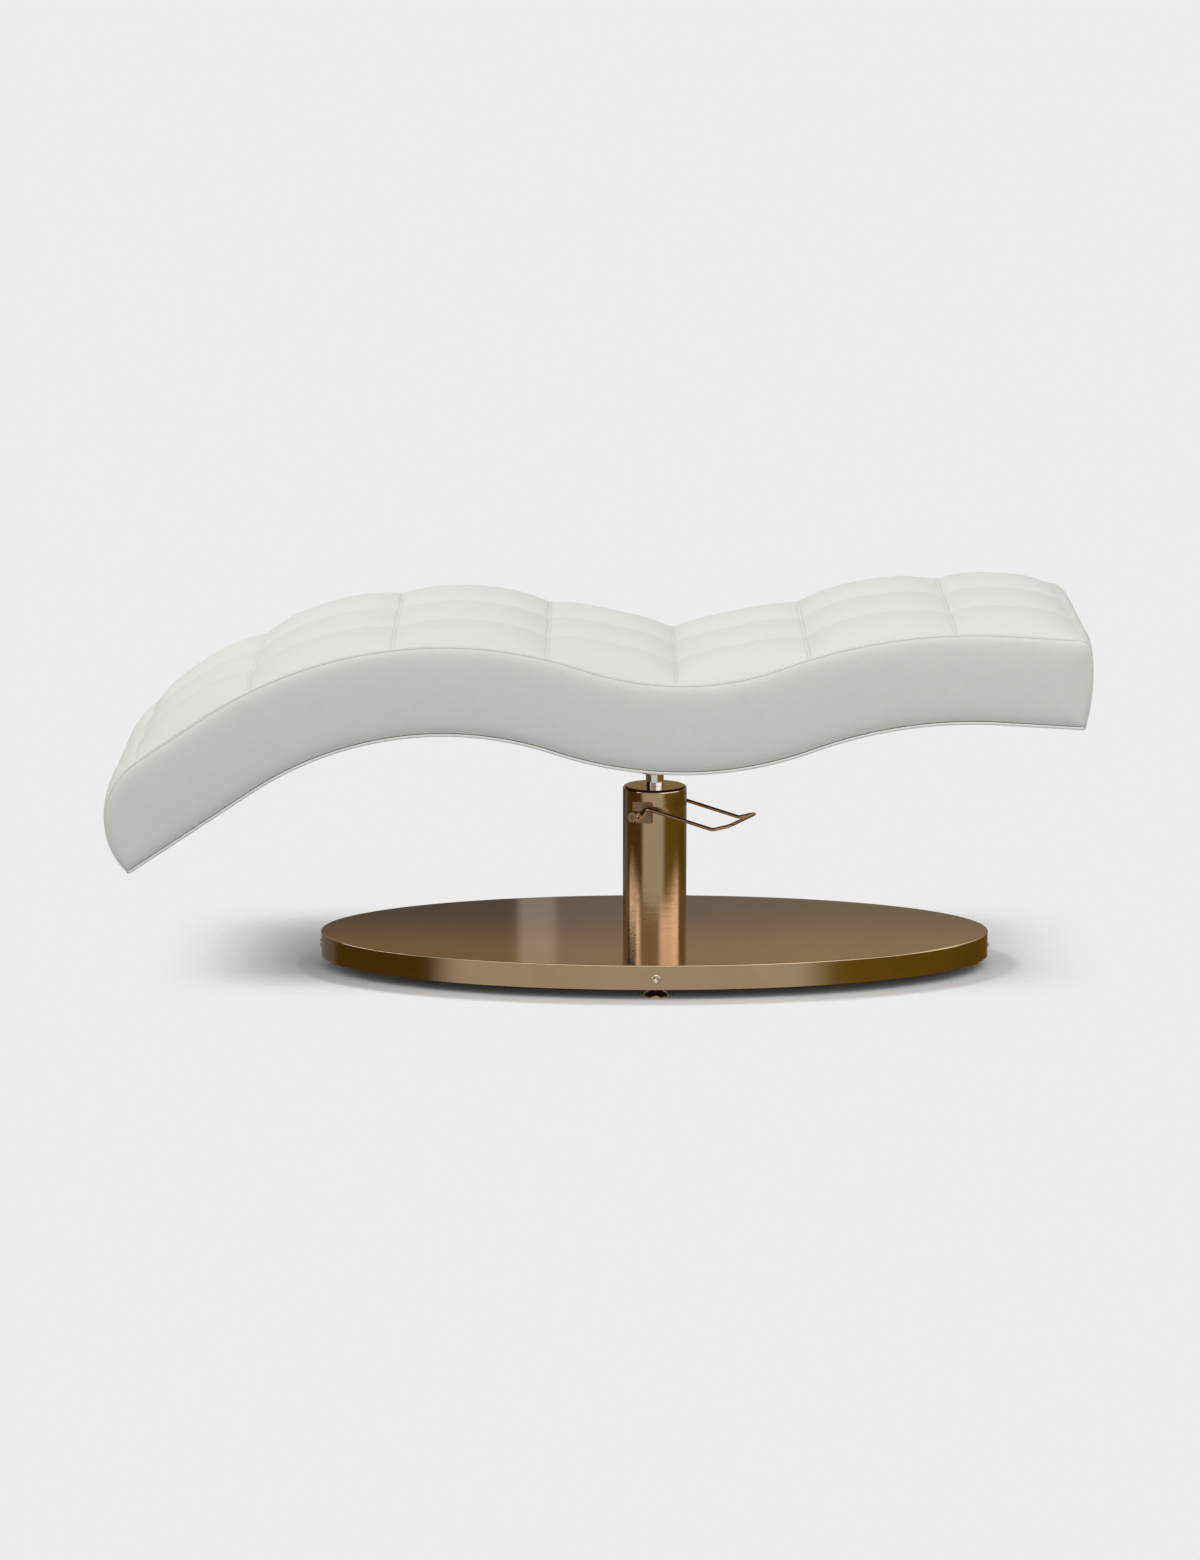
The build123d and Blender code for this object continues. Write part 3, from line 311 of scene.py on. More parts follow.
def tube_piece(name, lines, radius, closed=False):
    """A round cord of fixed radius along each of some lines, as one mesh."""
    curve = bpy.data.curves.new(name, "CURVE")
    curve.dimensions = "3D"
    curve.bevel_depth = radius
    curve.bevel_resolution = 3
    curve.use_fill_caps = True
    for line in lines:
        spline = curve.splines.new("POLY")
        spline.points.add(len(line) - 1)
        for point, place in zip(spline.points, line):
            point.co = (*place, 1)
        spline.use_cyclic_u = closed
    tube = bpy.data.objects.new(name, curve)
    bpy.context.collection.objects.link(tube)
    select_only(tube)
    bpy.ops.object.convert(target="MESH")
    tube = bpy.context.view_layer.objects.active
    tidy_normals(tube)
    tube.data.shade_smooth()
    return tube


def strip_faces(rows, columns, start=0, closed=False):
    """Four-sided faces over a grid of points that is stored row by row."""
    faces = []
    for row in range(rows - 1):
        for column in range(columns if closed else columns - 1):
            a = start + row * columns + column
            b = start + row * columns + (column + 1) % columns
            faces.append((a, b, b + columns, a + columns))
    return faces


# Finishes


def new_material(name):
    """An empty material, its node tree and its shader."""
    material = bpy.data.materials.new(name)
    material.use_nodes = True
    tree = material.node_tree
    return material, tree, tree.nodes["Principled BSDF"]


def feed(tree, node, inputs):
    """Link or set some of a node's inputs."""
    for key, value in inputs.items():
        if isinstance(value, bpy.types.NodeSocket):
            tree.links.new(value, node.inputs[key])
        else:
            node.inputs[key].default_value = value


def add_node(tree, kind, inputs=None, **settings):
    """A node with its settings and the values or links of its inputs."""
    node = tree.nodes.new(kind)
    for key, value in settings.items():
        setattr(node, key, value)
    feed(tree, node, inputs or {})
    return node


def object_places(tree, scale=(1, 1, 1), shift=(0, 0, 0)):
    """Object coordinates, stretched and moved."""
    places = add_node(tree, "ShaderNodeTexCoord").outputs["Object"]
    mapping = add_node(tree, "ShaderNodeMapping", {
        "Vector": places, "Scale": scale, "Location": shift})
    return mapping.outputs["Vector"]


def axes(tree, vector):
    """The three parts of a vector."""
    return add_node(tree, "ShaderNodeSeparateXYZ", {"Vector": vector}).outputs


def noise(tree, vector, scale, detail=4.0, roughness=0.5):
    """Grey noise."""
    made = add_node(tree, "ShaderNodeTexNoise", {
        "Vector": vector, "Scale": scale, "Detail": detail, "Roughness": roughness})
    return made.outputs["Fac"]


def waves(tree, vector, scale, distortion, way, detail=2.0):
    """Grey bands across one way."""
    made = add_node(tree, "ShaderNodeTexWave", {
        "Vector": vector, "Scale": scale, "Distortion": distortion, "Detail": detail},
        bands_direction=way)
    return made.outputs["Fac"]


def ramp(tree, value, stops):
    """Colours picked by a value."""
    made = add_node(tree, "ShaderNodeValToRGB", {"Fac": value})
    elements = made.color_ramp.elements
    while len(elements) < len(stops):
        elements.new(0.5)
    for element, (place, colour) in zip(elements, stops):
        element.position = place
        element.color = (*colour, 1)
    return made.outputs["Color"]


def shades(colour, *shares):
    """The colour made darker or lighter by each share."""
    return [tuple(min(1, max(0, part * share)) for part in colour) for share in shares]


def span(tree, value, low, high, start=0.0, stop=1.0, way="LINEAR"):
    """A value between start and stop brought to the range from low to high."""
    made = add_node(tree, "ShaderNodeMapRange", {
        "Value": value, "From Min": start, "From Max": stop, "To Min": low, "To Max": high},
        interpolation_type=way)
    return made.outputs["Result"]


def sum_of(tree, operation, *values):
    """The result of a sum with numbers or sockets."""
    made = add_node(tree, "ShaderNodeMath", dict(enumerate(values)), operation=operation)
    return made.outputs["Value"]


def blend(tree, share, first, second, way="MIX"):
    """Two colours mixed by a share."""
    made = add_node(tree, "ShaderNodeMix", {"Factor": share, "A": first, "B": second},
                    data_type="RGBA", blend_type=way)
    return made.outputs["Result"]


def bump(tree, height, strength, distance, normal=None):
    """Bump from a grey height."""
    inputs = {"Height": height, "Strength": strength, "Distance": distance}
    if normal is not None:
        inputs["Normal"] = normal
    return add_node(tree, "ShaderNodeBump", inputs).outputs["Normal"]


def vinyl_finish(tree, colour, grain=1.0):
    """White upholstery vinyl: fine pebbled grain, faint clouding and slow dents."""
    places = object_places(tree)
    light, middle, dark = shades(colour, 1.01, 1.0, 0.98)
    cloud = noise(tree, places, 40, 5, 0.6)
    pebbles = add_node(tree, "ShaderNodeTexVoronoi", {"Vector": places, "Scale": 620.0},
                       feature="SMOOTH_F1").outputs["Distance"]
    dents = bump(tree, noise(tree, places, 26, 3, 0.55), 0.35, 1.2 * MM)
    grained = bump(tree, pebbles, 0.22 * grain, 0.12 * MM, dents)
    return {
        "Base Color": ramp(tree, cloud, ((0.3, dark), (0.5, middle), (0.72, light))),
        "Normal": bump(tree, noise(tree, places, 1500, 3, 0.6), 0.12 * grain, 0.05 * MM, grained),
        "Roughness": span(tree, noise(tree, places, 60, 3), 0.46, 0.6),
        "Specular IOR Level": 0.35, "Sheen Weight": 0.12, "Sheen Roughness": 0.5}


def thread_finish(tree, colour):
    """Twisted sewing thread."""
    twist = waves(tree, object_places(tree), 900.0, 1.5, "DIAGONAL")
    low, high = shades(colour, 0.86, 1.0)
    return {"Base Color": ramp(tree, twist, ((0.2, low), (0.8, high))),
            "Normal": bump(tree, twist, 0.4, 0.1 * MM), "Roughness": 0.6}


def metal_finish(tree, colour, rough, brush, lines, cloud, edge=(1, 1, 1), depth=0.05 * MM):
    """Bare or tinted metal: brush lines along one way, faint clouding, its own edge tint."""
    dark, light = shades(colour, 1 - cloud, 1 + cloud)
    blot = noise(tree, object_places(tree), 7, 4, 0.6)
    brushed = noise(tree, object_places(tree, brush), 1.0, 5, 0.65)
    inputs = {"Base Color": ramp(tree, blot, ((0.3, dark), (0.7, light))),
              "Roughness": span(tree, brushed, rough * 0.82, rough * 1.2),
              "Metallic": 1.0, "Specular Tint": (*edge, 1)}
    if lines:
        inputs["Normal"] = bump(tree, brushed, lines, depth)
    return inputs


def paint_finish(tree, colour):
    """Powder coat: fine orange peel and a little dust."""
    rough = 0.45
    places = object_places(tree)
    dark, light = shades(colour, 0.8, 1.25)
    return {"Base Color": ramp(tree, noise(tree, places, 30, 4), ((0.35, dark), (0.7, light))),
            "Normal": bump(tree, noise(tree, places, 900, 2), 0.25, 0.1 * MM),
            "Roughness": span(tree, noise(tree, places, 120, 3), rough * 0.85, rough * 1.15)}


def rubber_finish(tree, colour):
    """Matt rubber with moulding bloom."""
    places = object_places(tree)
    dark, light = shades(colour, 0.7, 1.4)
    return {"Base Color": ramp(tree, noise(tree, places, 80, 4), ((0.35, dark), (0.75, light))),
            "Normal": bump(tree, noise(tree, places, 1600, 2), 0.3, 0.05 * MM),
            "Roughness": 0.75}


def timber_finish(tree, colour):
    """Sawn softwood: long grain, darker latewood lines and a rough face."""
    grain = waves(tree, object_places(tree, (1.5, 14, 14)), 4.0, 7.0, "Z", 3.0)
    fibres = noise(tree, object_places(tree, (12, 260, 260)), 1.0, 4, 0.6)
    early, late, face = shades(colour, 1.08, 0.62, 0.9)
    tone = ramp(tree, grain, ((0.25, late), (0.6, early)))
    return {"Base Color": blend(tree, fibres, tone, (*face, 1)),
            "Normal": bump(tree, fibres, 0.35, 0.3 * MM), "Roughness": 0.72}


def cloth_finish(tree, colour):
    """Woven cloth or open foam."""
    threads = [waves(tree, object_places(tree), 320.0, 0.6, way, 1.0) for way in ("X", "Y")]
    weave = sum_of(tree, "MULTIPLY", *threads)
    dark, light = shades(colour, 0.6, 1.5)
    return {"Base Color": ramp(tree, weave, ((0.1, dark), (0.8, light))),
            "Normal": bump(tree, weave, 0.5, 0.2 * MM), "Roughness": 0.9}


FINISHES = {}


def finish_of(slot):
    """The material for one of the record's slots, made once."""
    if slot in FINISHES:
        return FINISHES[slot]
    colours = bpy.context.scene.bed_colours
    satin = shades(colours.bronze, 0.8)[0]
    pink, sand = (1, 0.97, 0.95), (0.9, 0.8, 0.66)
    fine, middling = (300, 300, 300), (80, 80, 80)
    maker, name, colour, *facts = {
        "white_vinyl": (vinyl_finish, "White Vinyl", colours.vinyl),
        "side_vinyl": (vinyl_finish, "Side Vinyl", colours.vinyl, 1.2),
        "white_piping": (vinyl_finish, "Piping Vinyl", colours.piping, 0.4),
        "thread": (thread_finish, "White Thread", colours.thread),
        "bronze": (metal_finish, "Brushed Bronze", colours.bronze,
                   0.12, (6, 900, 900), 0.03, 0.06, pink),
        "column_bronze": (metal_finish, "Turned Bronze", colours.bronze,
                          0.12, (8, 8, 900), 0.8, 0.06, pink, 0.2 * MM),
        "pad_bronze": (metal_finish, "Satin Bronze", satin,
                       0.3, (60, 60, 600), 0.15, 0.06, sand),
        "nickel": (metal_finish, "Plated Screw Heads", colours.nickel, 0.14, fine, 0.05, 0.03),
        "bright_chrome": (metal_finish, "Polished Chrome", colours.chrome, 0.06, fine, 0, 0.02),
        "zinc_steel": (metal_finish, "Zinc Plate", (0.55, 0.56, 0.58), 0.32, middling, 0.1, 0.12),
        "grey_iron": (metal_finish, "Machined Iron", (0.28, 0.28, 0.29),
                      0.45, (20, 20, 1200), 0.2, 0.15),
        "bearing_brass": (metal_finish, "Bearing Brass", (0.65, 0.5, 0.24),
                          0.28, (20, 20, 900), 0.1, 0.1),
        "black_plate": (paint_finish, "Black Powder Coat", (0.03, 0.03, 0.032)),
        "seal_rubber": (rubber_finish, "Seal Rubber", (0.022, 0.022, 0.024)),
        "timber": (timber_finish, "Frame Timber", (0.56, 0.38, 0.21)),
        "dust_cover": (cloth_finish, "Dust Cover Cloth", (0.03, 0.03, 0.033)),
        "foam": (cloth_finish, "Open Foam", (0.75, 0.7, 0.5)),
    }[slot]
    material, tree, shader = new_material(name)
    feed(tree, shader, maker(tree, colour, *facts))
    FINISHES[slot] = material
    return material


def dress(piece, slot, finish=None):
    """Give a piece the given finish, or else the finish of the record's slot."""
    piece.data.materials.clear()
    piece.data.materials.append(finish_of(finish or slot))


# Upholstery


def tuft_rise(share, peak):
    """How much of its full height a tuft has at a share of its length, by where it peaks."""
    away = (peak - share) / peak if share < peak else (share - peak) / (1 - peak)
    return 1 - away ** 2.8


def chord_rise(start, stop):
    """How far the straight line between two seams passes above the skin's foundation midway."""
    first, last = (wave_point(station, HALF_THICKNESS) for station in (start, stop))
    x, z, heading = wave_line((start + stop) / 2)
    x, z = x - HALF_THICKNESS * sin(heading), z + HALF_THICKNESS * cos(heading)
    over = ((first[0] + last[0]) / 2 - x, (first[1] + last[1]) / 2 - z)
    return over[1] * cos(heading) - over[0] * sin(heading)


def skin_cells(sizes):
    """The tufts along the outline: start, end, heights at both and at the peak, and its share."""
    tuft = np.array((sizes.tuft_crown, sizes.tuft_middle, sizes.tuft_channel))
    seam = np.array((sizes.seam_crown, sizes.seam_crown + 1 * MM, sizes.seam_channel))
    nose = np.array((1.0, 1.0, 0.7)) * sizes.nose_crown
    swell = np.ones(3) * sizes.end_swell
    bend = np.array((1.0, 1.0, 0.89)) * sizes.bend_crown
    end = np.array((1.0, 1.0, 0.7)) * sizes.end_crown
    cells = [(SKIN_FOOT, NOSE_STATION, end, nose, seam, 0.6)]
    spans = [*zip(SEAMS, SEAMS[1:]), (SEAMS[-1], CORNER_CENTRE[0])]
    tufts = [tuft + chord_rise(*span) * sizes.bridging for span in spans]
    cells += [(*span, seam, tuft, seam, 0.5) for span, tuft in zip(spans[:-1], tufts)]
    cells += [
        (*spans[-1], seam, tufts[-1], bend, 0.5),
        (CORNER_CENTRE[0], CORNER_END, bend, None, bend, 0.5),
        (CORNER_END, SKIN_HEAD, bend, swell, end, 0.4),
    ]
    return cells


def cell_heights(cells, reach):
    """Heights of outer rows, middle row and channels at a reach along the outline."""
    for start, stop, low, peak, high, place in cells:
        if reach <= stop:
            break
    share = min(max((reach - start) / (stop - start), 0), 1)
    if peak is None:
        return low + (high - low) * share
    base = low if share < place else high
    return base + (peak - base) * tuft_rise(share, place)


def across_heights(sides, heights, crease):
    """Height of the padding at each place across the bed."""
    crown, middle, channel = heights
    apart = np.abs(sides) - THIRD
    soft = 1.5 * MM
    eased = np.sqrt(apart ** 2 + soft ** 2) - soft
    outer = np.clip(eased / (THIRD * 2), 0, 1)
    rise = 1 - np.abs(1 - outer * 2) ** 2.3
    outer_height = channel * (1 - outer) + (crown - channel / 2) * rise
    inner = np.clip(eased / THIRD, 0, 1)
    inner_height = channel + (middle - channel) * (1 - (1 - inner) ** 2.2)
    fine = crease * np.exp(-(apart / soft) ** 2)
    return np.where(apart > 0, outer_height, inner_height) - fine


def seam_dip(sizes, away):
    """Dip of the cover by its distance from a cross seam: two grooves with a ridge between."""
    groove_width, hollow, hollow_width = 0.9 * MM, 0.8 * MM, 7 * MM
    rows = sizes.groove_depth * np.exp(-((np.abs(away) - sizes.stitch_gap) / groove_width) ** 2)
    return rows + hollow * np.exp(-(away / hollow_width) ** 2)


def edge_dip(sizes, inside):
    """Dip of the cover by its distance from its edge: the groove of the edge stitches."""
    groove_width = 0.7 * MM
    return sizes.groove_depth * np.exp(-((inside - sizes.margin) / groove_width) ** 2)


def graded(start, stop, seams, coarse, fine):
    """Places from start to stop, close together near each seam and coarse elsewhere."""
    reach = 7 * MM
    places = [start]
    while places[-1] < stop - 1e-9:
        here = places[-1]
        nearest = min((abs(here - seam) for seam in seams), default=1)
        ahead = min((seam - here for seam in seams if seam > here + 1e-6), default=1)
        step = fine if nearest < reach else min(coarse, max(fine, ahead - reach * 0.9))
        places.append(min(here + step, stop))
    return np.array(places)


def skin_surface(sizes, reaches, sides, swell=None):
    """Points of the padded cover over a grid of reaches along and places across."""
    cells = skin_cells(sizes)
    seams = np.array(SEAMS)
    edge_fade, pinch_depth, pinch_along, pinch_across = 8 * MM, 2.2 * MM, 15 * MM, 13 * MM
    points = np.zeros((len(reaches), len(sides), 3))
    for number, reach in enumerate(reaches):
        base, out = skin_line(reach)
        height = across_heights(sides, cell_heights(cells, reach), sizes.crease_depth)
        away = reach - seams[np.argmin(np.abs(seams - reach))]
        inside = HALF_BED - np.abs(sides)
        faint = 0.5 if reach < NOSE_STATION + 20 * MM else 1.0
        height -= faint * seam_dip(sizes, away) * np.clip(inside / edge_fade, 0, 1)
        height -= edge_dip(sizes, inside)
        pinch = pinch_depth * np.exp(-(away / pinch_along) ** 2)
        height -= pinch * np.exp(-((np.abs(sides) - THIRD) / pinch_across) ** 2)
        if swell is not None:
            height += swell(reach, sides)
        points[number] = base + out * height[:, None]
        points[number, :, 1] = sides
    return points


def held_places(start, stop, seams):
    """Places from start to stop, and which of them are held: both ends and round every seam."""
    hold, coarse = 5 * MM, 10 * MM
    marks = [mark + way * hold for mark in (start, *seams, stop) for way in (-1, 0, 1)][1:-1]
    places = []
    for low, high in zip(marks, marks[1:]):
        steps = max(1, round((high - low) / coarse))
        places += list(np.linspace(low, high, steps, endpoint=False))
    places = np.array([*places, stop])
    return places, np.array([min(abs(place - mark) for mark in marks) < 1e-6 for place in places])


def settled_swell(sizes):
    """How far air pressure lifts the cover between its seams, found by a short cloth simulation."""
    reaches, held_rows = held_places(
        SKIN_FOOT, SKIN_HEAD, [*SEAMS, CORNER_CENTRE[0], CORNER_END])
    sides, held_columns = held_places(-COVER_EDGE, COVER_EDGE, CREASES)
    grid = skin_surface(sizes, reaches, sides)
    faces = [face[::-1] for face in strip_faces(len(reaches), len(sides))]
    trial = mesh_piece("cover_trial", grid.reshape(-1, 3), faces)
    held = np.flatnonzero((held_rows[:, None] | held_columns[None, :]).ravel())
    trial.vertex_groups.new(name="Held").add(held.tolist(), 1, "REPLACE")
    cloth = trial.modifiers.new("Air Pressure", "CLOTH")
    cloth.collision_settings.use_collision = False
    cloth.point_cache.frame_start, cloth.point_cache.frame_end = 1, sizes.settle_frames
    fabric = cloth.settings
    fabric.quality = 6
    fabric.mass = 0.2
    fabric.tension_stiffness = fabric.compression_stiffness = 18
    fabric.shear_stiffness = 6
    fabric.bending_stiffness = 0.8
    fabric.vertex_group_mass = "Held"
    fabric.use_pressure = True
    fabric.uniform_pressure_force = sizes.air_pressure
    fabric.effector_weights.gravity = 0
    scene = bpy.context.scene
    for frame_number in range(1, sizes.settle_frames + 1):
        scene.frame_set(frame_number)
    settled = trial.evaluated_get(bpy.context.evaluated_depsgraph_get())
    places = np.array([vertex.co for vertex in settled.data.vertices]).reshape(grid.shape)
    outs = np.array([skin_line(reach)[1] for reach in reaches])
    lift = np.einsum("rcp,rp->rc", places - grid, outs)
    lift = np.clip(lift, -sizes.swell_cap / 2, sizes.swell_cap)
    scene.frame_set(1)
    bpy.data.batch_remove([trial, trial.data])

    def swell(reach, across):
        row = min(max(np.searchsorted(reaches, reach), 1), len(reaches) - 1)
        share = (reach - reaches[row - 1]) / (reaches[row] - reaches[row - 1])
        line = lift[row - 1] * (1 - share) + lift[row] * share
        return np.interp(across, sides, line)

    return swell


class BED_OT_quilted_top(bpy.types.Operator):
    """Make the quilted top: rows of tufts between cross seams, wrapped round both ends"""

    bl_idname = "treatment_bed.quilted_top"
    bl_label = "Quilted Top"

    def execute(self, context):
        sizes = context.scene.bed_sizes
        reaches = graded(SKIN_FOOT, SKIN_HEAD, SEAMS, coarse=7 * MM, fine=1 * MM)
        width = 6 * MM
        hem = np.arange(0, width, 0.6 * MM)
        start = width - COVER_EDGE
        middle = graded(start, -start, CREASES, coarse=8 * MM, fine=0.9 * MM)
        sides = np.concatenate((hem - COVER_EDGE, middle, (COVER_EDGE - hem)[::-1]))
        swell = settled_swell(sizes)
        points = skin_surface(sizes, reaches, sides, swell)
        rows, columns = points.shape[:2]
        outer = points.reshape(-1, 3)
        inner = []
        for reach in reaches:
            base, out = skin_line(reach)
            for side in (-COVER_EDGE, COVER_EDGE):
                inner.append(base - out * sizes.skin_depth + (0, side, 0))
        faces = strip_faces(rows, columns)
        below = rows * columns
        for row in range(rows - 1):
            near, far = row * columns, row * columns + columns - 1
            low = below + row * 2
            faces.append((near, near + columns, low + 2, low))
            faces.append((far + columns, far, low + 1, low + 3))
            faces.append((low, low + 2, low + 3, low + 1))
        faces.append((*range(columns), below + 1, below))
        last = (rows - 1) * columns
        faces.append((*range(last + columns - 1, last - 1, -1), below + rows * 2 - 2,
                      below + rows * 2 - 1))
        top = mesh_piece("quilted_top_cover", np.vstack((outer, inner)), faces)
        tidy_normals(top)
        dress(top, "white_vinyl")
        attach(top, "bed")
        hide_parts("quilted_top", "foam_core")
        self.sew(sizes, reaches, swell)
        return {"FINISHED"}

    def sew(self, sizes, reaches, swell):
        """Lay two rows of stitches along every cross seam and one inside each edge."""
        stitches = []

        def stitch(start, stop, out):
            gap = (stop - start) * 0.14
            stitches.append((start + gap, stop - gap, out))

        reach_in, spare = HALF_BED - 8 * MM, 12 * MM
        across = np.arange(-reach_in, reach_in, sizes.stitch_pitch)
        for seam in SEAMS:
            for way in (-1, 1):
                reach = seam + way * sizes.stitch_gap
                line = skin_surface(sizes, [reach], across, swell)[0]
                out = skin_line(reach)[1]
                for start, stop in zip(line, line[1:]):
                    stitch(start, stop, out)
        spots = np.arange(reaches[0] + spare, reaches[-1] - spare, sizes.stitch_pitch)
        inside = np.array((sizes.margin - HALF_BED, HALF_BED - sizes.margin))
        lines = skin_surface(sizes, spots, inside, swell)
        for side in (0, 1):
            for number, reach in enumerate(spots[:-1]):
                stitch(lines[number, side], lines[number + 1, side], skin_line(reach)[1])
        thread = stitch_piece("top_stitches", stitches, sizes.thread_radius)
        dress(thread, "white_vinyl", "thread")
        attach(thread, "bed")


def stitch_piece(name, stitches, radius):
    """Small rounded stitches, each from one point to another with its way out of the cloth."""
    ring = 6
    points, faces = [], []
    for start, stop, out in stitches:
        along = stop - start
        side = np.cross(along, out)
        side = side / np.linalg.norm(side)
        up = np.cross(side, along)
        up = up / np.linalg.norm(up)
        first = len(points)
        for share, size in ((0, 0.45), (0.2, 1), (0.8, 1), (1, 0.45)):
            centre = start + along * share + up * radius * 0.35
            for corner in range(ring):
                turn = 2 * pi * corner / ring
                points.append(centre + (side * cos(turn) + up * sin(turn)) * radius * size)
        faces += strip_faces(4, ring, first, closed=True)
        faces.append(tuple(range(first + ring - 1, first - 1, -1)))
        faces.append(tuple(range(first + ring * 3, first + ring * 4)))
    return mesh_piece(name, points, faces)


def outline_reaches(step, last, corner, bulge):
    """Reaches from foot to head: the nose, the long run up to its last one, corner and bulge."""
    return [
        *np.linspace(SKIN_FOOT, NOSE_STATION, 40),
        *np.arange(NOSE_STATION + step, last, step),
        *np.linspace(CORNER_CENTRE[0], CORNER_END, corner),
        *np.linspace(CORNER_END, SKIN_HEAD, bulge)[1:],
    ]


def side_outline(step):
    """Closed side outline as station and offset: over the top from foot to head, then back."""
    reaches = outline_reaches(step, CORNER_CENTRE[0] - step / 2, 8, 26)
    over = [skin_place(reach)[:2] for reach in reaches]
    inside = [s for s, _ in over[40:-33] if FLOOR_FOOT + step < s < FLOOR_HEAD - step]
    under = [(station, FLOOR_OFFSET) for station in reversed(inside)]
    return over + under


class BED_OT_side_panels(bpy.types.Operator):
    """Make the two side panels, which swell a little between the seam and the piping"""

    bl_idname = "treatment_bed.side_panels"
    bl_label = "Side Panels"

    def execute(self, context):
        sizes = context.scene.bed_sizes
        outline = np.array(side_outline(7 * MM))
        spine = np.stack((
            np.clip(outline[:, 0], NOSE_STATION - 45 * MM, HEAD_STATION - HALF_THICKNESS),
            np.zeros(len(outline)),
        ), axis=1)
        reach = np.linalg.norm(outline - spine, axis=1)
        start, flank, heart = 1.2 * MM, 48 * MM, 79 * MM
        rings = [(7.0 * MM, 0, -12.0 * MM), (7.0 * MM, 0, -3.0 * MM), (start, 0, -2.0 * MM)]
        for inset in (1.2, 2, 3.2, 4.8, 7, 10, 14, 19, 26, 36, 48):
            rings.append((inset * MM, 0, None))
        rings += [(flank, share, None) for share in (0.33, 0.66, 1)]
        for side, name in ((-1, "near"), (1, "far")):
            points = []
            for inset, share, out in rings:
                for place, middle, length in zip(outline, spine, reach):
                    inward = inset + (length - inset) * share
                    station, offset = place + (middle - place) * (inward / length)
                    swell = out
                    if out is None:
                        near = 1 - np.exp((start - inward) / (8 * MM))
                        far = 1 - (1 - min(inward / heart, 1)) ** 2
                        swell = sizes.side_round * near + sizes.side_bulge * far - 1 * MM
                    x, z = wave_point(station, offset)
                    points.append((x, side * (HALF_BED + swell), z))
            count = len(outline)
            faces = strip_faces(len(rings), count, closed=True)
            faces.append(tuple(range(count)))
            panel = mesh_piece(f"{name}_side_panel", points, faces)
            tidy_normals(panel, 0.2 * MM)
            dress(panel, "side_vinyl")
            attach(panel, "bed")
            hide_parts(f"{name}_side_band")
        return {"FINISHED"}


class BED_OT_edge_trim(bpy.types.Operator):
    """Make the rolled seams over the sides and the piping along the bottom edge"""

    bl_idname = "treatment_bed.edge_trim"
    bl_label = "Edge Trim"

    def execute(self, context):
        sizes = context.scene.bed_sizes
        reaches = outline_reaches(8 * MM, CORNER_CENTRE[0], 10, 20)
        places = [skin_line(reach) for reach in reaches]
        inward, sunk = 0.6 * MM, 0.9 * MM
        lines = [[base - out * sunk + (0, side * (HALF_BED - inward), 0) for base, out in places]
                 for side in (-1, 1)]
        beads = tube_piece("side_seam_beads", lines, sizes.bead_radius)
        dress(beads, "white_vinyl")
        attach(beads, "bed")

        drop = FLOOR_OFFSET - 2.2 * MM
        foot, head = FLOOR_FOOT + 1 * MM, FLOOR_HEAD - 2 * MM
        half = HALF_BED + 1.0 * MM
        bend = 9 * MM
        stations = np.arange(foot + bend, head - bend, 8 * MM)
        route = [(station, -half) for station in stations]
        corners = ((head, -half, -90), (head, half, 0), (foot, half, 90), (foot, -half, 180))
        for number, (station, side, turn) in enumerate(corners):
            centre = (station - bend * np.sign(station), side - bend * np.sign(side))
            for step in range(7):
                angle = radians(turn + 15 * step)
                route.append((centre[0] + bend * cos(angle), centre[1] + bend * sin(angle)))
            if number == 1:
                route += [(station, half) for station in stations[::-1]]
        line = []
        for station, side in route:
            x, z = wave_point(station, drop)
            line.append((x, side, z))
        piping = tube_piece("bottom_piping", [line], sizes.piping_radius, closed=True)
        dress(piping, "white_piping")
        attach(piping, "bed")
        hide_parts("bottom_welt")
        return {"FINISHED"}


class BED_OT_dust_cover(bpy.types.Operator):
    """Make the stretched cloth under the bed, with an opening for the mounting block"""

    bl_idname = "treatment_bed.dust_cover"
    bl_label = "Dust Cover"

    def execute(self, context):
        low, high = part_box("mount_block")
        opening = (low.x - 2 * MM, high.x + 2 * MM, high.y + 2 * MM)
        start, stop = FLOOR_FOOT + 8 * MM, FLOOR_HEAD - 8 * MM
        half = HALF_BED - 6.5 * MM
        stations = np.linspace(start, stop, 150)
        sides = np.linspace(-half, half, 41)
        thick, deepest, ripple = 0.8 * MM, 1.5 * MM, 0.4 * MM
        points = []
        for layer in (0, thick):
            for station in stations:
                for side in sides:
                    sag = deepest * cos(pi * side / half / 2) ** 0.5
                    sag += ripple * sin(station * 60) * sin(side * 45)
                    x, z = wave_point(station, FLOOR_OFFSET - 0.6 * MM - sag - layer)
                    points.append((x, side, z))
        count = len(stations) * len(sides)
        kept = []
        for face in strip_faces(len(stations), len(sides)):
            middle = np.mean([points[corner] for corner in face], axis=0)
            if not (opening[0] < middle[0] < opening[1] and abs(middle[1]) < opening[2]):
                kept.append(face)
        faces = kept + [tuple(corner + count for corner in reversed(face)) for face in kept]
        used = dict.fromkeys(pair for face in kept for pair in zip(face, face[1:] + face[:1]))
        faces += [(b, a, a + count, b + count) for a, b in used if (b, a) not in used]
        cover = mesh_piece("dust_cover", points, faces)
        tidy_normals(cover)
        dress(cover, "dust_cover")
        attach(cover, "bed")
        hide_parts("underside_cover")
        return {"FINISHED"}


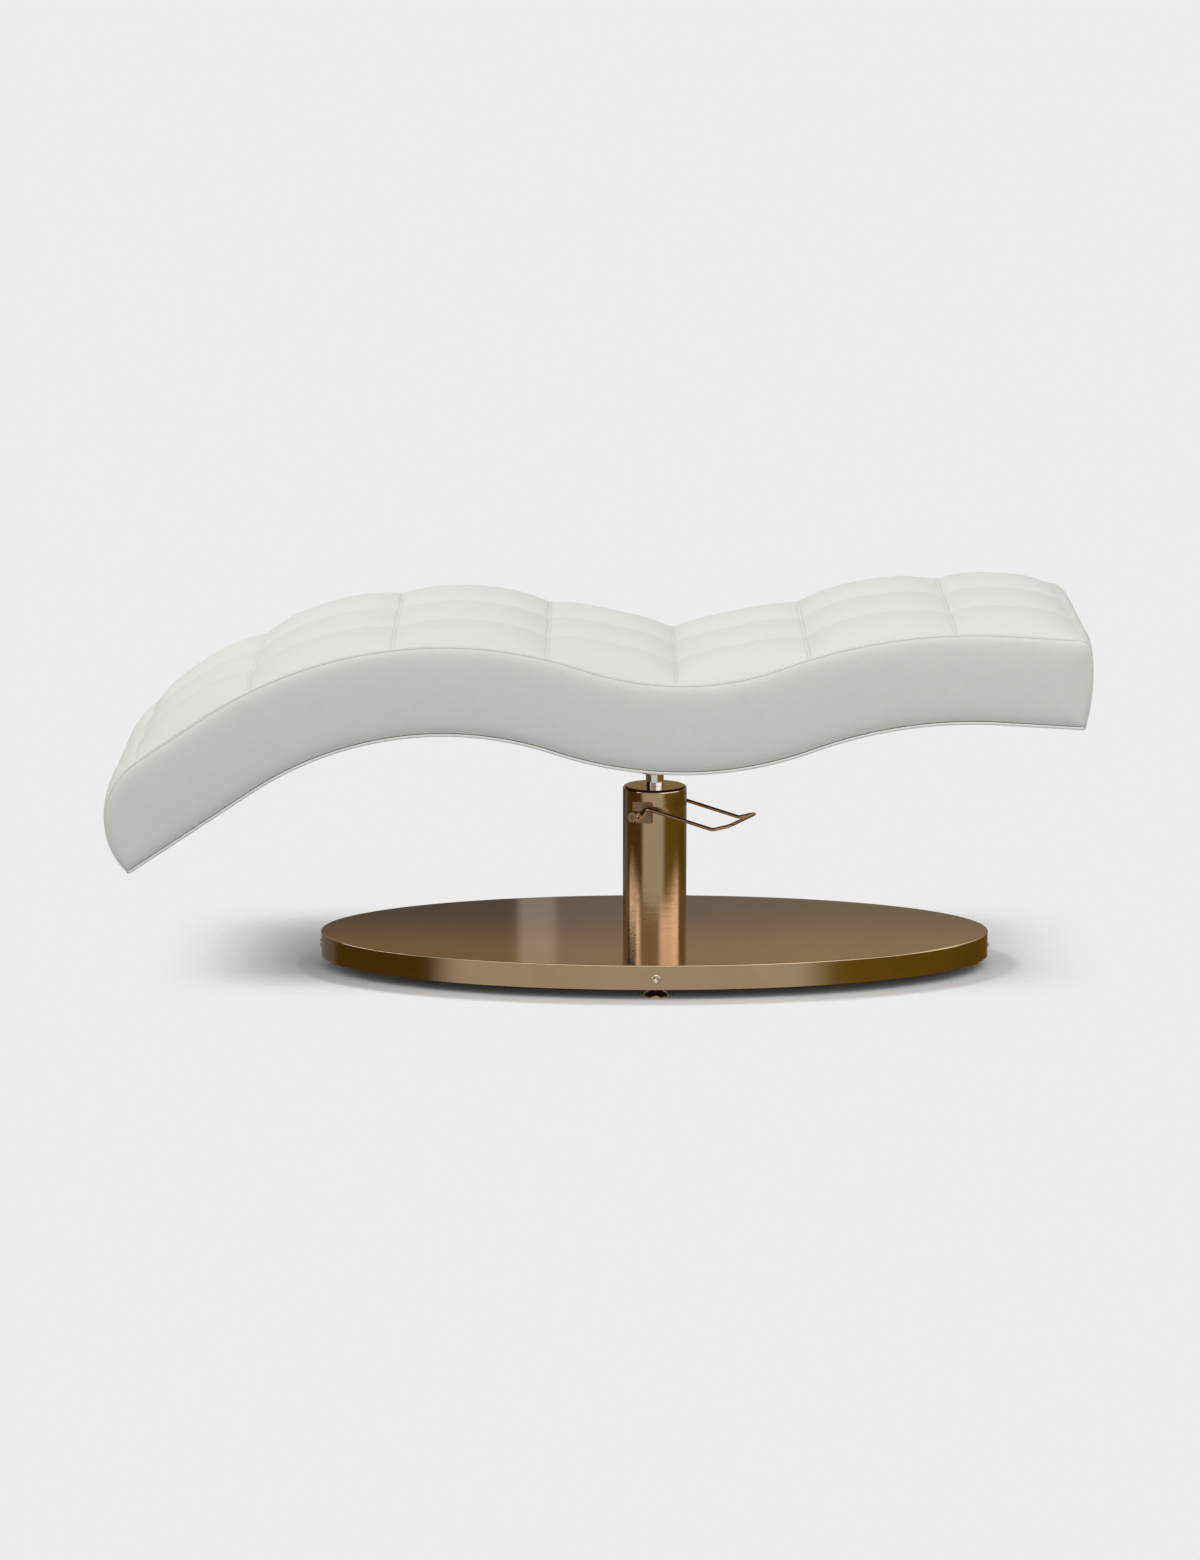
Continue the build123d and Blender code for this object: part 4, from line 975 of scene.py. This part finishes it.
class BED_OT_rim_screws(bpy.types.Operator):
    """Make the plated screw heads round the base's rim: a ring, a groove and a socketed middle"""

    bl_idname = "treatment_bed.rim_screws"
    bl_label = "Rim Screws"

    def execute(self, context):
        sizes = context.scene.bed_hardware
        low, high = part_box("rim_screws")
        radius = (high.z - low.z) / 2
        deep = sizes.head_depth
        bpy.ops.mesh.primitive_cylinder_add(
            vertices=40, radius=radius, depth=deep, location=(0, 0, deep / 2))
        head = context.active_object
        head.name = "rim_screw_heads"
        bpy.ops.object.transform_apply(location=True)
        bpy.ops.object.mode_set(mode="EDIT")
        bpy.ops.mesh.select_all(action="DESELECT")
        shape = bmesh.from_edit_mesh(head.data)
        for face in shape.faces:
            face.select = face.normal.z > 0.9
        bmesh.update_edit_mesh(head.data)
        profile = ((0.3, 0.6), (0.5, 0.5), (0.7, 0.2), (0.6, 0.0), (0.5, -0.4), (0.3, -1.6))
        rest = radius / MM - sum(inset for inset, _ in profile) - 0.1
        for inset, rise in (*profile, (rest, -sizes.socket_depth / MM)):
            bpy.ops.mesh.inset(thickness=inset * MM)
            bpy.ops.transform.translate(value=(0, 0, rise * MM))
        bpy.ops.object.mode_set(mode="OBJECT")
        soften = head.modifiers.new("Soft Edges", "BEVEL")
        soften.width, soften.segments, soften.limit_method = 0.25 * MM, 2, "ANGLE"
        bpy.ops.object.modifier_apply(modifier=soften.name)
        centre = (low + high) / 2
        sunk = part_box("base_cover")[0].y - low.y - sizes.head_rise
        thick = max(vertex.co.z for vertex in head.data.vertices)
        deselect()
        heads = []
        for x, y in ((COLUMN_X, low.y), (COLUMN_X, high.y), (low.x, centre.y), (high.x, centre.y)):
            out = Vector((x - COLUMN_X, y - centre.y, 0)).normalized()
            turn = Vector((0, 0, 1)).rotation_difference(out).to_matrix().to_4x4()
            shift = Vector((x, y, centre.z)) - out * (thick + sunk)
            copied = head.copy()
            copied.data = head.data.copy()
            copied.data.transform(Matrix.Translation(shift) @ turn)
            context.collection.objects.link(copied)
            copied.select_set(True)
            heads.append(copied)
        bpy.data.objects.remove(head)
        screws = context.view_layer.objects.active = heads[0]
        bpy.ops.object.join()
        screws.name = "rim_screw_heads"
        bpy.ops.object.shade_smooth_by_angle(angle=radians(35))
        dress(screws, "bronze", "nickel")
        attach(screws, "base")
        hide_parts("rim_screws")
        return {"FINISHED"}


class BED_OT_return_spring(bpy.types.Operator):
    """Wind the pump's return spring to the length of the imported one; the coil keeps that length
    when the pedal goes down
    """

    bl_idname = "treatment_bed.return_spring"
    bl_label = "Return Spring"

    def execute(self, context):
        sizes = context.scene.bed_hardware
        low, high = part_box("return_spring")
        wire = sizes.spring_wire
        length = high.z - low.z
        bpy.ops.mesh.primitive_circle_add(
            vertices=12, radius=wire, rotation=(pi / 2, 0, 0),
            location=((high.x - low.x) / 2 - wire, 0, wire))
        spring = context.active_object
        spring.name = "return_spring_coil"
        bpy.ops.object.transform_apply()
        coil = spring.modifiers.new("Coil", "SCREW")
        coil.steps = coil.render_steps = 32
        coil.iterations = sizes.spring_turns
        coil.screw_offset = (length - 2 * wire) / sizes.spring_turns
        bpy.ops.object.modifier_apply(modifier=coil.name)
        bpy.ops.object.mode_set(mode="EDIT")
        bpy.ops.mesh.select_all(action="DESELECT")
        bpy.ops.mesh.select_non_manifold()
        bpy.ops.mesh.fill_holes(sides=0)
        bpy.ops.mesh.select_all(action="SELECT")
        bpy.ops.mesh.normals_make_consistent(inside=False)
        bpy.ops.transform.translate(value=((low.x + high.x) / 2, (low.y + high.y) / 2, low.z))
        bpy.ops.object.mode_set(mode="OBJECT")
        bpy.ops.object.shade_smooth_by_angle(angle=radians(40))
        dress(spring, "zinc_steel")
        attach(spring, "base")
        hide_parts("return_spring")
        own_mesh(spring)
        return {"FINISHED"}


class BED_OT_metal_finishes(bpy.types.Operator):
    """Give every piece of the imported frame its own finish"""

    bl_idname = "treatment_bed.metal_finishes"
    bl_label = "Frame Finishes"

    def execute(self, context):
        special = {"column_shroud": "column_bronze", "bearing_pads": "pad_bronze",
                   "collar_screws": "pad_bronze"}
        for row in frame["record"]["subparts"]:
            slot = row["material_slot"]
            dress(frame["nodes"][row["node"]], slot, special.get(row["node"], slot))
        return {"FINISHED"}


# Studio


def backdrop_world(settings):
    """A plain backdrop for the camera, and a studio of panels and dark gaps for the light."""
    world = bpy.data.worlds.new("Studio")
    world.use_nodes = True
    tree = world.node_tree
    tree.nodes.clear()
    ahead, away, up = axes(tree, add_node(tree, "ShaderNodeTexCoord").outputs["Generated"])
    turn = sum_of(tree, "ARCTAN2", ahead, sum_of(tree, "MULTIPLY", away, -1.0))
    share = span(tree, turn, 0, 1, -pi, pi)

    def panels(*stops):
        """Colours round the bed, by degrees from the camera's side, level and tint."""
        return ramp(tree, share, [
            (0.5 + angle / 360, tuple(level * part for part in tint))
            for angle, level, tint in stops])

    plain, olive, amber = (1, 1, 1), (1, 0.7, 0.08), (1, 0.85, 0.45)
    cool, warm = (1, 1.02, 1.18), (1, 0.97, 0.72)
    pale = settings.backdrop[0]
    low = panels(
        (-180, pale, plain), (-173, pale, plain), (-170, 0.2, plain), (-122, 0.16, plain),
        (-112, 0.09, olive), (-50, 0.09, olive), (-41, 0.57, plain), (28, 0.57, plain),
        (37, 0.19, olive), (90, 0.16, olive), (110, 0.14, olive), (150, 0.15, olive),
        (166, 0.2, plain), (169, pale, plain), (180, pale, plain))
    high = panels(
        (-180, 0.26, amber), (-107, 0.26, amber), (-99, 2.05, cool), (-62, 2.05, cool),
        (-50, 0.4, warm), (10, 0.4, warm), (26, 1.7, cool), (60, 1.7, cool), (72, 2.0, cool),
        (92, 2.0, cool), (98, 0.26, amber), (180, 0.26, amber))
    sides = blend(tree, span(tree, up, 0, 1, -0.03, 0.03), low, high)
    sides = blend(tree, span(tree, up, 0, 1, 0.25, 0.33), sides, (0.5, 0.5, 0.5, 1))
    overhead = span(tree, up, 0, 1, 0.35, 0.75, "SMOOTHSTEP")
    room = blend(tree, overhead, sides, (1.5, 1.5, 1.5, 1))
    rays = add_node(tree, "ShaderNodeLightPath").outputs
    sharp = sum_of(tree, "MAXIMUM", rays["Is Glossy Ray"], rays["Is Transmission Ray"])
    even = span(tree, up, settings.low_light, settings.room_light, -0.4, 0.4)
    even = sum_of(tree, "MULTIPLY_ADD", ahead, -settings.side_light, even)
    lit = blend(tree, sharp, even, room)
    seen = blend(tree, rays["Is Camera Ray"], lit, (*settings.backdrop, 1))
    shown = add_node(tree, "ShaderNodeBackground", {"Color": seen, "Strength": 1.0})
    add_node(tree, "ShaderNodeOutputWorld", {"Surface": shown.outputs["Background"]})
    bpy.context.scene.world = world


def floor_material(settings):
    """A pale floor that fades into the backdrop round the bed's and the base's shadow."""
    material, tree, shader = new_material("Studio Floor")
    tree.nodes.remove(shader)
    (length, width), (close_length, close_width) = settings.shadow_reach, settings.close_reach
    shadow = 50 * MM - COLUMN_X, -130 * MM
    along, across, _ = axes(tree, object_places(
        tree, (1 / length, 1 / width, 1), (shadow[0] / length, shadow[1] / width, 0)))
    fades = [
        span(tree, sum_of(tree, "ABSOLUTE", way), 1, 0, full, 1, "SMOOTHSTEP")
        for way, full in ((along, 0.62), (across, 0.38))]
    wide = sum_of(tree, "MULTIPLY", *fades)
    around = object_places(
        tree, (1 / close_length, 1 / close_width, 1), (-COLUMN_X / close_length, 0, 0))
    close = add_node(tree, "ShaderNodeTexGradient", {"Vector": around}, gradient_type="SPHERICAL")
    close = span(tree, close.outputs["Fac"], 0, 1, 0, 0.08, "SMOOTHSTEP")
    mask = sum_of(tree, "MAXIMUM", wide, close)
    seen = add_node(tree, "ShaderNodeLightPath").outputs["Is Camera Ray"]
    shown = sum_of(tree, "MAXIMUM", mask, sum_of(tree, "SUBTRACT", 1.0, seen))
    shade = span(tree, seen, settings.floor_return, settings.floor_shade)
    pale = add_node(tree, "ShaderNodeBsdfDiffuse", {"Color": shade})
    clear = add_node(tree, "ShaderNodeBsdfTransparent")
    mix = add_node(tree, "ShaderNodeMixShader", {
        0: shown, 1: clear.outputs["BSDF"], 2: pale.outputs["BSDF"]})
    feed(tree, tree.nodes["Material Output"], {"Surface": mix.outputs["Shader"]})
    return material


def card_material():
    """A dim studio wall that brightens to one side and upwards, with one pale upright strip."""
    material, tree, shader = new_material("Studio Wall")
    tree.nodes.remove(shader)
    along, _, up = axes(tree, add_node(tree, "ShaderNodeTexCoord").outputs["Object"])
    left, pale, near, right = (
        (0.108, 0.102, 0.098), (0.316, 0.316, 0.31), (0.182, 0.172, 0.178), (0.223, 0.209, 0.18))
    stops = ((-1, left), (-0.169, left), (-0.159, pale), (-0.09, pale), (-0.08, near), (0.5, right),
             (1, right))
    tone = ramp(tree, span(tree, along, 0, 1, -1, 1), [
        (0.5 + place / 2, tint) for place, tint in stops])
    lift = ramp(tree, span(tree, up, 0, 1, 0.24, 0.295), ((0, (0, 0, 0)), (1, (0.15, 0.085, 0.0))))
    glow = add_node(tree, "ShaderNodeEmission", {
        "Color": blend(tree, 1.0, tone, lift, "ADD"), "Strength": 1.0})
    feed(tree, tree.nodes["Material Output"], {"Surface": glow.outputs["Emission"]})
    return material


class BED_OT_studio(bpy.types.Operator):
    """Set up the floor, the light and the camera"""

    bl_idname = "treatment_bed.studio"
    bl_label = "Studio"

    def execute(self, context):
        scene = context.scene
        settings = scene.bed_studio
        scene.view_settings.view_transform = "Standard"
        backdrop_world(settings)

        bpy.ops.mesh.primitive_circle_add(
            vertices=96, radius=settings.floor_radius, fill_type="NGON", location=(0, 0, 0))
        floor = context.active_object
        floor.name = "studio_floor"
        floor.data.materials.append(floor_material(settings))
        floor.visible_glossy = False

        wall = mesh_piece("studio_wall", [(-1, 0.9, 0), (1, 0.9, 0), (1, 0.9, 0.5), (-1, 0.9, 0.5)],
                          [(0, 1, 2, 3)], smooth=False)
        wall.data.materials.append(card_material())
        for kind in ("camera", "diffuse", "shadow", "transmission", "volume_scatter"):
            setattr(wall, f"visible_{kind}", False)

        bpy.ops.object.light_add(
            type="SUN", location=(0, 0, 4), rotation=(radians(22), radians(3), 0))
        overhead = context.active_object
        overhead.name = "overhead_light"
        overhead.data.energy = settings.sun_strength
        overhead.data.angle = radians(70)
        for name, place, aim, power in (
                ("front_light", (1.9, -2.6, 1.3), (0.3, 0, 0.4), settings.front_power),
                ("back_light", (-2.2, 1.6, 1.6), (-0.7, 0, 0.5), settings.back_power)):
            bpy.ops.object.light_add(type="AREA", location=place)
            lamp = context.active_object
            lamp.name = name
            lamp.data.size = 1.6
            lamp.data.energy = power
            lamp.rotation_mode = "QUATERNION"
            lamp.rotation_quaternion = (Vector(aim) - Vector(place)).to_track_quat("-Z", "Y")
            lamp.visible_glossy = False

        rise = settings.camera_rise
        look = Vector((COLUMN_X + settings.look_ahead, 0, settings.look_height))
        back = Vector((0, -cos(rise), sin(rise)))
        bpy.ops.object.camera_add(location=look + back * settings.camera_distance)
        camera = context.active_object
        camera.rotation_mode = "QUATERNION"
        camera.rotation_quaternion = (-back).to_track_quat("-Z", "Y")
        camera.data.sensor_width = 36
        camera.data.lens = settings.camera_lens
        camera.data.clip_end = 100
        scene.camera = camera
        return {"FINISHED"}


class BED_PT_panel(bpy.types.Panel):
    """Lists the pieces of the bed"""

    bl_idname = "BED_PT_panel"
    bl_label = "Treatment Bed"
    bl_space_type = "VIEW_3D"
    bl_region_type = "UI"
    bl_category = "Treatment Bed"

    def draw(self, context):
        for operator in OPERATORS:
            self.layout.operator(operator.bl_idname)


OPERATORS = (
    BED_OT_metal_finishes,
    BED_OT_quilted_top,
    BED_OT_side_panels,
    BED_OT_edge_trim,
    BED_OT_dust_cover,
    BED_OT_rim_screws,
    BED_OT_return_spring,
    BED_OT_studio,
)
GROUPS = {
    "bed_sizes": UpholsterySizes,
    "bed_hardware": HardwareSizes,
    "bed_colours": FinishColours,
    "bed_studio": StudioSettings,
}


def register():
    """Register the settings, the operators and the panel."""
    for name, group in GROUPS.items():
        bpy.utils.register_class(group)
        setattr(bpy.types.Scene, name, bpy.props.PointerProperty(type=group))
    for operator in (*OPERATORS, BED_PT_panel):
        bpy.utils.register_class(operator)


def unregister():
    """Take them out again."""
    for operator in reversed((*OPERATORS, BED_PT_panel)):
        bpy.utils.unregister_class(operator)
    for name, group in reversed(list(GROUPS.items())):
        delattr(bpy.types.Scene, name)
        bpy.utils.unregister_class(group)


def main():
    """Build the looks in order."""
    register()
    bpy.ops.treatment_bed.metal_finishes()
    bpy.ops.treatment_bed.quilted_top()
    bpy.ops.treatment_bed.side_panels()
    bpy.ops.treatment_bed.edge_trim()
    bpy.ops.treatment_bed.dust_cover()
    bpy.ops.treatment_bed.rim_screws()
    bpy.ops.treatment_bed.return_spring()
    bpy.ops.treatment_bed.studio()


if __name__ == "__main__":
    main()
